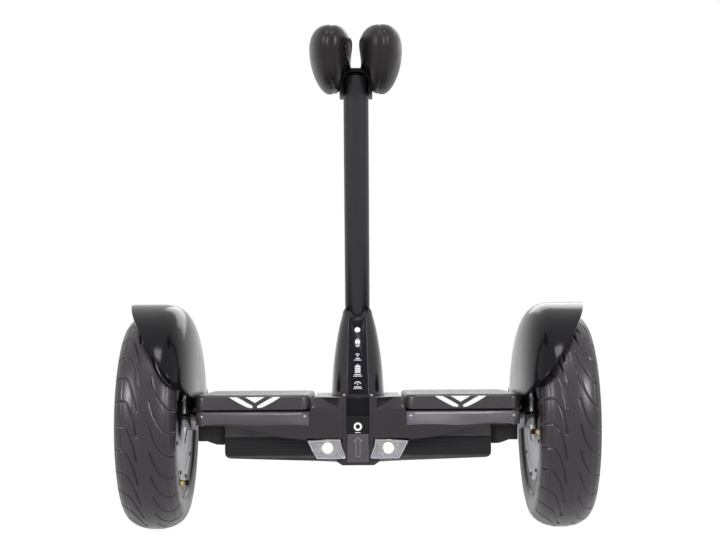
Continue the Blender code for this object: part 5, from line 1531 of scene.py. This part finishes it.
def build_display():
    """Display strip with pale strips along its edges as painted highlight, its printed icons, and the
    button.
    """
    refined("display_panel", "screen", 0.0003)
    trim_width, trim_height, trim_in, past_end = 0.0005, 0.00145, 0.00015, 0.0002
    place = framed(strip_point(STRIP_FOOT_Z, 0.0014), (1, 0, 0), STRIP_UP)
    edges = []
    for way in (-1, 1):
        foot, top = STRIP_FOOT_HALF - trim_in, STRIP_TOP_HALF - trim_in
        edge = [(way * foot, -past_end), (way * (foot + trim_width), -past_end),
                (way * (top + trim_width), STRIP_LENGTH + past_end), (way * top, STRIP_LENGTH + past_end)]
        edges.append(bevelled(extruded(edge, trim_height, place), 0.00018))
    # Pale strips along the recess's edges stand for its highlights: painted highlight
    piece_from("display_edges", gathered(*edges), "display_edge_highlight", "steering")
    centre = middle_of("power_button")
    profile = ((0.0, 0.0), (0.0, 0.0036), (0.80, 0.0036), (0.93, 0.0032), (0.99, 0.0024), (0.95, 0.0))
    cap = turned_between(profile, centre - STRIP_OUT * 0.00165, centre + STRIP_OUT * 0.0012, 40)
    piece_from("power_button_cap", cap, "marks", "button", ("power_button",))
    for number, (z, outlines, drop, wide, wider) in enumerate(icons(), start=1):
        blocks = [bar_mark(wide, 0.0012, cy=-drop), bar_mark(wider, 0.0007, cy=-drop - 0.0020)]
        place = framed(strip_point(z, STRIP_SUNK - PRINT_GAP), (1, 0, 0), STRIP_UP)
        marks_piece(f"display_icon_{number}", outlines + blocks, place, "steering")


def build_bar():
    """Knee bar, a coated tube with softened ends, and its bracket."""
    inner, end = BAR_RADIUS - 0.002, BAR_RADIUS - 0.0004
    profile = ((0.0, inner), (0.0, end), (0.0012, BAR_RADIUS), (0.9990, BAR_RADIUS), (1.0, end),
               (1.0, inner), (0.0, inner))
    bm = turned_between(profile, bar_point(BAR_BOTTOM), bar_point(BAR_TOP), 72)
    piece_from("control_bar_coated", bm, "bar_coat", "steering", ("control_bar",))
    refined("pad_bracket", "satin_plastic", 0.0009, 3)


# Knee pads

PAD_INNER_X = 0.0033
PAD_HALF_X = 0.0258
PAD_HALF_Y = (PAD_HIGH.y - PAD_LOW.y) / 2
PAD_HALF_Z = 0.0395
PAD_Y = (PAD_HIGH.y + PAD_LOW.y) / 2
PAD_Z = PAD_HIGH.z - PAD_HALF_Z
PAD_LIFT = 0.30
PLATE_Y = PAD_Y - 0.009
PLATE_Z = PAD_Z + 0.007
PLATE_HALF_LENGTH = 0.038
PLATE_HALF_HEIGHT = 0.0162
# Plate: (share of its oval, in from the cushion's inner side), over the dish and round the edge
DISH = ((0.02, 0.0031), (0.40, 0.0030), (0.62, 0.0026), (0.74, 0.0021), (0.82, 0.0013), (0.87, 0.0005),
        (0.91, 0.0), (0.945, -0.0002), (0.975, 0.0), (0.994, 0.0006), (1.0, 0.0015), (1.0, 0.0046),
        (0.5, 0.0047), (0.02, 0.0048))
PLATE_SEAT = ((0.02, -0.008), (1.012, -0.008), (1.012, 0.0051), (0.02, 0.0051))
# Room for the bracket, as its right half: (X, Z)
BRACKET_GAP = ((0.0104, 0.5429), (0.0154, 0.53766), (0.0172, 0.5300), (0.0199, 0.5116))
# The seam stands off the cushion's middle and bows outwards, with a fine line in a soft hollow
SEAM_OFFSET = 0.0025
SEAM_BOW = 0.0080
SEAM_LINE = 0.0010
SEAM_HOLLOW = 0.0060


def pad_rings(side, around=48, across=34):
    """Egg-shaped cushion from its inner face to its outer one, fullest above its middle."""
    rings = []
    for j in range(across + 1):
        polar = math.pi * (j + 0.4) / (across + 0.8)
        out, reach = -math.cos(polar), math.sin(polar)
        ring = []
        for i in range(around):
            turn = 2 * math.pi * i / around
            upward = reach * math.sin(turn)
            ring.append((side * (PAD_INNER_X + PAD_HALF_X * (1 + out)),
                         PAD_Y + PAD_HALF_Y * reach * math.cos(turn),
                         PAD_Z + PAD_HALF_Z * (upward + PAD_LIFT * (1 - upward ** 2))))
        rings.append(ring)
    return rings


def pad_inner_side(y, z):
    """How far from the middle the cushion's inner side lies at a place seen from the side."""
    height = (z - PAD_Z) / PAD_HALF_Z
    upward = (1 - math.sqrt(1 - 4 * PAD_LIFT * (height - PAD_LIFT))) / (2 * PAD_LIFT)
    reach = ((y - PAD_Y) / PAD_HALF_Y) ** 2 + upward ** 2
    return PAD_INNER_X + PAD_HALF_X * (1 - math.sqrt(max(0.0, 1 - reach)))


def plate_rings(side, profile, steps=80):
    """Ovals that follow the cushion's inner side; the profile gives (size, depth) pairs."""
    rings = []
    for size, depth in profile:
        ring = []
        for i in range(steps):
            turn = 2 * math.pi * i / steps
            y = PLATE_Y + PLATE_HALF_LENGTH * size * math.cos(turn)
            z = PLATE_Z + PLATE_HALF_HEIGHT * size * math.sin(turn)
            ring.append((side * (pad_inner_side(y, z) + depth), y, z))
        rings.append(ring)
    return rings


def stuffed(piece, pressure=4.0, frames=20, most=0.004):
    """Swell a cushion as cloth under pressure, and keep each point near where it was."""
    remesh = piece.modifiers.new("remesh", "REMESH")
    remesh.mode = "VOXEL"
    remesh.voxel_size = 0.0034
    applied(piece)
    before = coordinates(piece.data)
    cloth = piece.modifiers.new("cloth", "CLOTH")
    cloth.settings.quality = 6
    cloth.settings.mass = 0.2
    cloth.settings.use_pressure = True
    cloth.settings.uniform_pressure_force = pressure
    cloth.settings.effector_weights.gravity = 0
    cloth.settings.tension_stiffness = 25
    cloth.settings.bending_stiffness = 2
    cloth.collision_settings.use_collision = False
    cloth.point_cache.frame_start = 1
    cloth.point_cache.frame_end = frames
    scene = bpy.context.scene
    for step in range(1, frames + 1):
        scene.frame_set(step)
    applied(piece)
    scene.frame_set(1)
    move = coordinates(piece.data) - before
    length = np.linalg.norm(move, axis=1)
    move *= np.minimum(1, most / np.maximum(length, 1e-9))[:, None]
    moved_to(piece.data, before + move)


def fitted_cushion(rows, side):
    """The swelled cushion fitted to its box and drawn in along its seam."""
    lowest = np.array((PAD_INNER_X, PAD_LOW.y, PAD_LOW.z))
    highest = np.array((PAD_INNER_X + 2 * PAD_HALF_X, PAD_HIGH.y, PAD_HIGH.z))
    rows = rows * (side, 1, 1)
    size = rows.max(0) - rows.min(0)
    fitted = lowest + (rows - rows.min(0)) / size * (highest - lowest)
    centre = (lowest + highest) / 2
    height = (fitted[:, 2] - centre[2]) / (size[2] / 2)
    off = fitted[:, 0] - (centre[0] - SEAM_OFFSET + SEAM_BOW * np.clip(1 - height ** 2, 0, 1))
    seam = np.exp(-(off / SEAM_LINE) ** 2) + 1.2 * np.exp(-(off / SEAM_HOLLOW) ** 2)
    inward = centre - fitted
    inward[:, 0] = 0
    inward /= np.maximum(np.linalg.norm(inward, axis=1), 1e-9)[:, None]
    fitted += inward * (seam * sizes().seam_depth)[:, None]
    return fitted * (side, 1, 1)


def bracket_room():
    """Cutter that keeps the cushions and plates clear of the bracket."""
    behind = box_of("pad_bracket")[1].y + 0.0005
    return loose("bracket_room", along_y(mirrored(BRACKET_GAP), -FAR, behind))


def build_pad(side, name):
    """Skin-covered cushion: swelled, drawn in along its seam and hollowed for its plate and bracket."""
    small = 0.965
    middle = Vector((side * (PAD_INNER_X + PAD_HALF_X), PAD_Y, PAD_Z))
    bm = bridged(pad_rings(side))
    shrink = Matrix.Diagonal((small, small, small, 1))
    shrink = Matrix.Translation(middle) @ shrink @ Matrix.Translation(-middle)
    bmesh.ops.transform(bm, matrix=shrink, verts=bm.verts)
    pad = piece_from(f"{name}_pad_cushion", bm, None, "steering", (f"{name}_knee_pad",))
    stuffed(pad)
    smooth = pad.modifiers.new("smooth", "SUBSURF")
    smooth.levels = smooth.render_levels = 2
    applied(pad)
    moved_to(pad.data, fitted_cushion(coordinates(pad.data), side))
    carved(pad, loose("seat", bridged(plate_rings(side, PLATE_SEAT))), bracket_room())
    shaded(pad.data, 50)
    dressed(pad, f"pad_skin_{name}")
    plate = piece_from(f"{name}_plate_dished", bridged(plate_rings(side, DISH)), None, "steering",
                       (f"{name}_pad_plate",))
    carved(plate, bracket_room())
    shaded(plate.data, 40)
    dressed(plate, "plate_gloss")


# Stage

PHOTO_WIDTH = 720
FOCAL_PIXELS = 1315.5
CAMERA_PLACE = (0.0035, -1.587, 0.205)
CAMERA_RISE = math.radians(3.69)
CAMERA_ROLL = math.radians(-0.36)
LAMP_AIM = (0, 0, 0.32)
# Studio lamps: name, place, width and height, and watts
LAMPS = (
    ("top", (0.1, -0.9, 2.3), (0.7, 0.5), 14),
    ("left", (-1.75, -1.45, 1.15), (0.55, 0.6), 30),
    ("right", (1.75, -1.45, 1.15), (0.55, 0.6), 30),
    ("back", (0.4, 2.1, 1.4), (1.6, 1.0), 12),
)
# Strength of the world as light, and as it is seen
WORLD_LIGHT = 0.28
WORLD_SEEN = 1.0
# The floor's colour, and how it glows white where it is seen
FLOOR_WHITE = (0.97, 0.97, 0.97, 1)
FLOOR_GLOW = 1.08
FLOOR_GLOW_SHARE = 0.9


def area_light(name, place, size, power):
    data = bpy.data.lights.new(name, "AREA")
    data.shape = "RECTANGLE"
    data.size, data.size_y = size
    data.energy = power
    light = bpy.data.objects.new(name, data)
    turn = (Vector(LAMP_AIM) - Vector(place)).to_track_quat("-Z", "Y").to_matrix().to_4x4()
    light.matrix_world = Matrix.Translation(place) @ turn
    bpy.context.scene.collection.objects.link(light)


def seen_directly(tree):
    """1 where a ray comes from the camera, a reflection or through glass, else 0."""
    path = tree.nodes.new("ShaderNodeLightPath")
    first = tree.nodes.new("ShaderNodeMath")
    first.operation = "MAXIMUM"
    tree.links.new(path.outputs["Is Camera Ray"], first.inputs[0])
    tree.links.new(path.outputs["Is Glossy Ray"], first.inputs[1])
    second = tree.nodes.new("ShaderNodeMath")
    second.operation = "MAXIMUM"
    tree.links.new(first.outputs[0], second.inputs[0])
    tree.links.new(path.outputs["Is Transmission Ray"], second.inputs[1])
    return second.outputs[0]


def build_world():
    """Even light from all round, which shows as white."""
    world = bpy.data.worlds.new("studio")
    world.use_nodes = True
    tree = world.node_tree
    background = tree.nodes["Background"]
    background.inputs["Color"].default_value = (1, 1, 1, 1)
    strength = tree.nodes.new("ShaderNodeMapRange")
    strength.inputs["To Min"].default_value = WORLD_LIGHT
    strength.inputs["To Max"].default_value = WORLD_SEEN
    tree.links.new(seen_directly(tree), strength.inputs["Value"])
    tree.links.new(strength.outputs["Result"], background.inputs["Strength"])
    bpy.context.scene.world = world


def build_floor():
    """Plain floor that takes the object's shadow and shows as white."""
    bm = bmesh.new()
    bmesh.ops.create_grid(bm, x_segments=8, y_segments=8, size=6.0)
    floor = loose("studio_floor", bm)
    paint = bpy.data.materials.new("studio_floor")
    paint.use_nodes = True
    tree = paint.node_tree
    tree.nodes.clear()
    matt = tree.nodes.new("ShaderNodeBsdfDiffuse")
    matt.inputs["Color"].default_value = FLOOR_WHITE
    lit = tree.nodes.new("ShaderNodeEmission")
    lit.inputs["Color"].default_value = (1, 1, 1, 1)
    lit.inputs["Strength"].default_value = FLOOR_GLOW
    share = tree.nodes.new("ShaderNodeMapRange")
    share.inputs["To Max"].default_value = FLOOR_GLOW_SHARE
    tree.links.new(seen_directly(tree), share.inputs["Value"])
    mixed = tree.nodes.new("ShaderNodeMixShader")
    tree.links.new(share.outputs["Result"], mixed.inputs["Fac"])
    tree.links.new(matt.outputs["BSDF"], mixed.inputs[1])
    tree.links.new(lit.outputs["Emission"], mixed.inputs[2])
    out = tree.nodes.new("ShaderNodeOutputMaterial")
    tree.links.new(mixed.outputs["Shader"], out.inputs["Surface"])
    floor.data.materials.append(paint)


def build_camera():
    """Camera at the photograph's place, with its rise and its slight roll."""
    data = bpy.data.cameras.new("camera")
    data.sensor_width = 36
    data.lens = FOCAL_PIXELS / PHOTO_WIDTH * data.sensor_width
    camera = bpy.data.objects.new("camera", data)
    forward = Vector((0, math.cos(CAMERA_RISE), math.sin(CAMERA_RISE)))
    up = Vector((0, -math.sin(CAMERA_RISE), math.cos(CAMERA_RISE)))
    right = Vector((1, 0, 0))
    rolled_right = right * math.cos(CAMERA_ROLL) + up * math.sin(CAMERA_ROLL)
    rolled_up = up * math.cos(CAMERA_ROLL) - right * math.sin(CAMERA_ROLL)
    turn = Matrix((rolled_right, rolled_up, -forward)).transposed().to_4x4()
    camera.matrix_world = Matrix.Translation(CAMERA_PLACE) @ turn
    bpy.context.scene.collection.objects.link(camera)
    bpy.context.scene.camera = camera


class SCOOTER_OT_stage(bpy.types.Operator):
    """Set up the floor, the studio light and the camera"""

    bl_idname = "scooter.stage"
    bl_label = "Stage"

    def execute(self, context):
        build_world()
        build_floor()
        build_camera()
        for name, place, size, power in LAMPS:
            area_light(name, place, size, power)
        context.scene.view_settings.view_transform = "Standard"
        return {"FINISHED"}


class SCOOTER_OT_inner_parts(bpy.types.Operator):
    """Give the frame's own pieces their finishes"""

    bl_idname = "scooter.inner_parts"
    bl_label = "Frame and inner parts"

    def execute(self, context):
        wanted = dict(NODE_FINISHES)
        for _, name in SIDES:
            wanted.update({f"{name}_{node}": look for node, look in SIDE_FINISHES.items()})
        for node, look in wanted.items():
            for slot in frame["nodes"][node].material_slots:
                slot.material = finish(look)
        for _, name in SIDES:
            refined(f"{name}_axle_clamp", "dark_metal", 0.0009)
        return {"FINISHED"}


class SCOOTER_OT_tyres(bpy.types.Operator):
    """Build the treaded tyres"""

    bl_idname = "scooter.tyres"
    bl_label = "Tyres"

    def execute(self, context):
        for side, name in SIDES:
            build_tyre(side, name)
        return {"FINISHED"}


class SCOOTER_OT_wheels(bpy.types.Operator):
    """Build the rims, the motor covers and the valves"""

    bl_idname = "scooter.wheels"
    bl_label = "Rims and motors"

    def execute(self, context):
        for side, name in SIDES:
            build_rim(side, name)
            build_motor_cover(side, name)
            build_valve(side, name)
        return {"FINISHED"}


class SCOOTER_OT_fenders(bpy.types.Operator):
    """Build the moulded fenders"""

    bl_idname = "scooter.fenders"
    bl_label = "Fenders"

    def execute(self, context):
        for side, name in SIDES:
            build_fender(side, name)
        return {"FINISHED"}


class SCOOTER_OT_deck(bpy.types.Operator):
    """Build the bumpers, the hood and the battery case"""

    bl_idname = "scooter.deck"
    bl_label = "Deck covers and battery"

    def execute(self, context):
        build_covers()
        build_battery()
        for side, name in SIDES:
            build_band(side, name)
        return {"FINISHED"}


class SCOOTER_OT_mats(bpy.types.Operator):
    """Build the foot mats with their grooves and front marks"""

    bl_idname = "scooter.mats"
    bl_label = "Foot mats"

    def execute(self, context):
        for side, name in SIDES:
            build_mat(side, name)
            slanted_marks(side, name)
        return {"FINISHED"}


class SCOOTER_OT_front(bpy.types.Operator):
    """Build the charging flap, the nose panel and the lamps"""

    bl_idname = "scooter.front"
    bl_label = "Front panel and lamps"

    def execute(self, context):
        build_front_panel()
        build_lamps()
        return {"FINISHED"}


class SCOOTER_OT_neck(bpy.types.Operator):
    """Build the neck, its display and its button"""

    bl_idname = "scooter.neck"
    bl_label = "Steering neck"

    def execute(self, context):
        build_neck()
        build_display()
        return {"FINISHED"}


class SCOOTER_OT_bar(bpy.types.Operator):
    """Build the knee bar and its bracket"""

    bl_idname = "scooter.bar"
    bl_label = "Knee bar"

    def execute(self, context):
        build_bar()
        return {"FINISHED"}


class SCOOTER_OT_pads(bpy.types.Operator):
    """Build the knee pads and their plates"""

    bl_idname = "scooter.pads"
    bl_label = "Knee pads"

    def execute(self, context):
        for side, name in SIDES:
            build_pad(side, name)
        return {"FINISHED"}


STEPS = (SCOOTER_OT_stage, SCOOTER_OT_inner_parts, SCOOTER_OT_tyres, SCOOTER_OT_wheels,
         SCOOTER_OT_fenders, SCOOTER_OT_deck, SCOOTER_OT_mats, SCOOTER_OT_front, SCOOTER_OT_neck,
         SCOOTER_OT_bar, SCOOTER_OT_pads)


class SCOOTER_PT_panel(bpy.types.Panel):
    """Sizes, colours and the steps that build the scooter"""

    bl_idname = "SCOOTER_PT_panel"
    bl_label = "Self-balancing scooter"
    bl_space_type = "VIEW_3D"
    bl_region_type = "UI"
    bl_category = "Scooter"

    def draw(self, context):
        column = self.layout.column()
        for group in (context.scene.scooter_sizes, context.scene.scooter_colours):
            for key in group.bl_rna.properties.keys():
                if key not in ("rna_type", "name"):
                    column.prop(group, key)
        for step in STEPS:
            column.operator(step.bl_idname)


CLASSES = (ScooterSizes, ScooterColours, *STEPS, SCOOTER_PT_panel)


def register():
    for cls in CLASSES:
        bpy.utils.register_class(cls)
    bpy.types.Scene.scooter_sizes = PointerProperty(type=ScooterSizes)
    bpy.types.Scene.scooter_colours = PointerProperty(type=ScooterColours)


def unregister():
    del bpy.types.Scene.scooter_colours
    del bpy.types.Scene.scooter_sizes
    for cls in reversed(CLASSES):
        bpy.utils.unregister_class(cls)


def main():
    register()
    for step in STEPS:
        group, action = step.bl_idname.split(".")
        getattr(getattr(bpy.ops, group), action)()


if __name__ == "__main__":
    main()
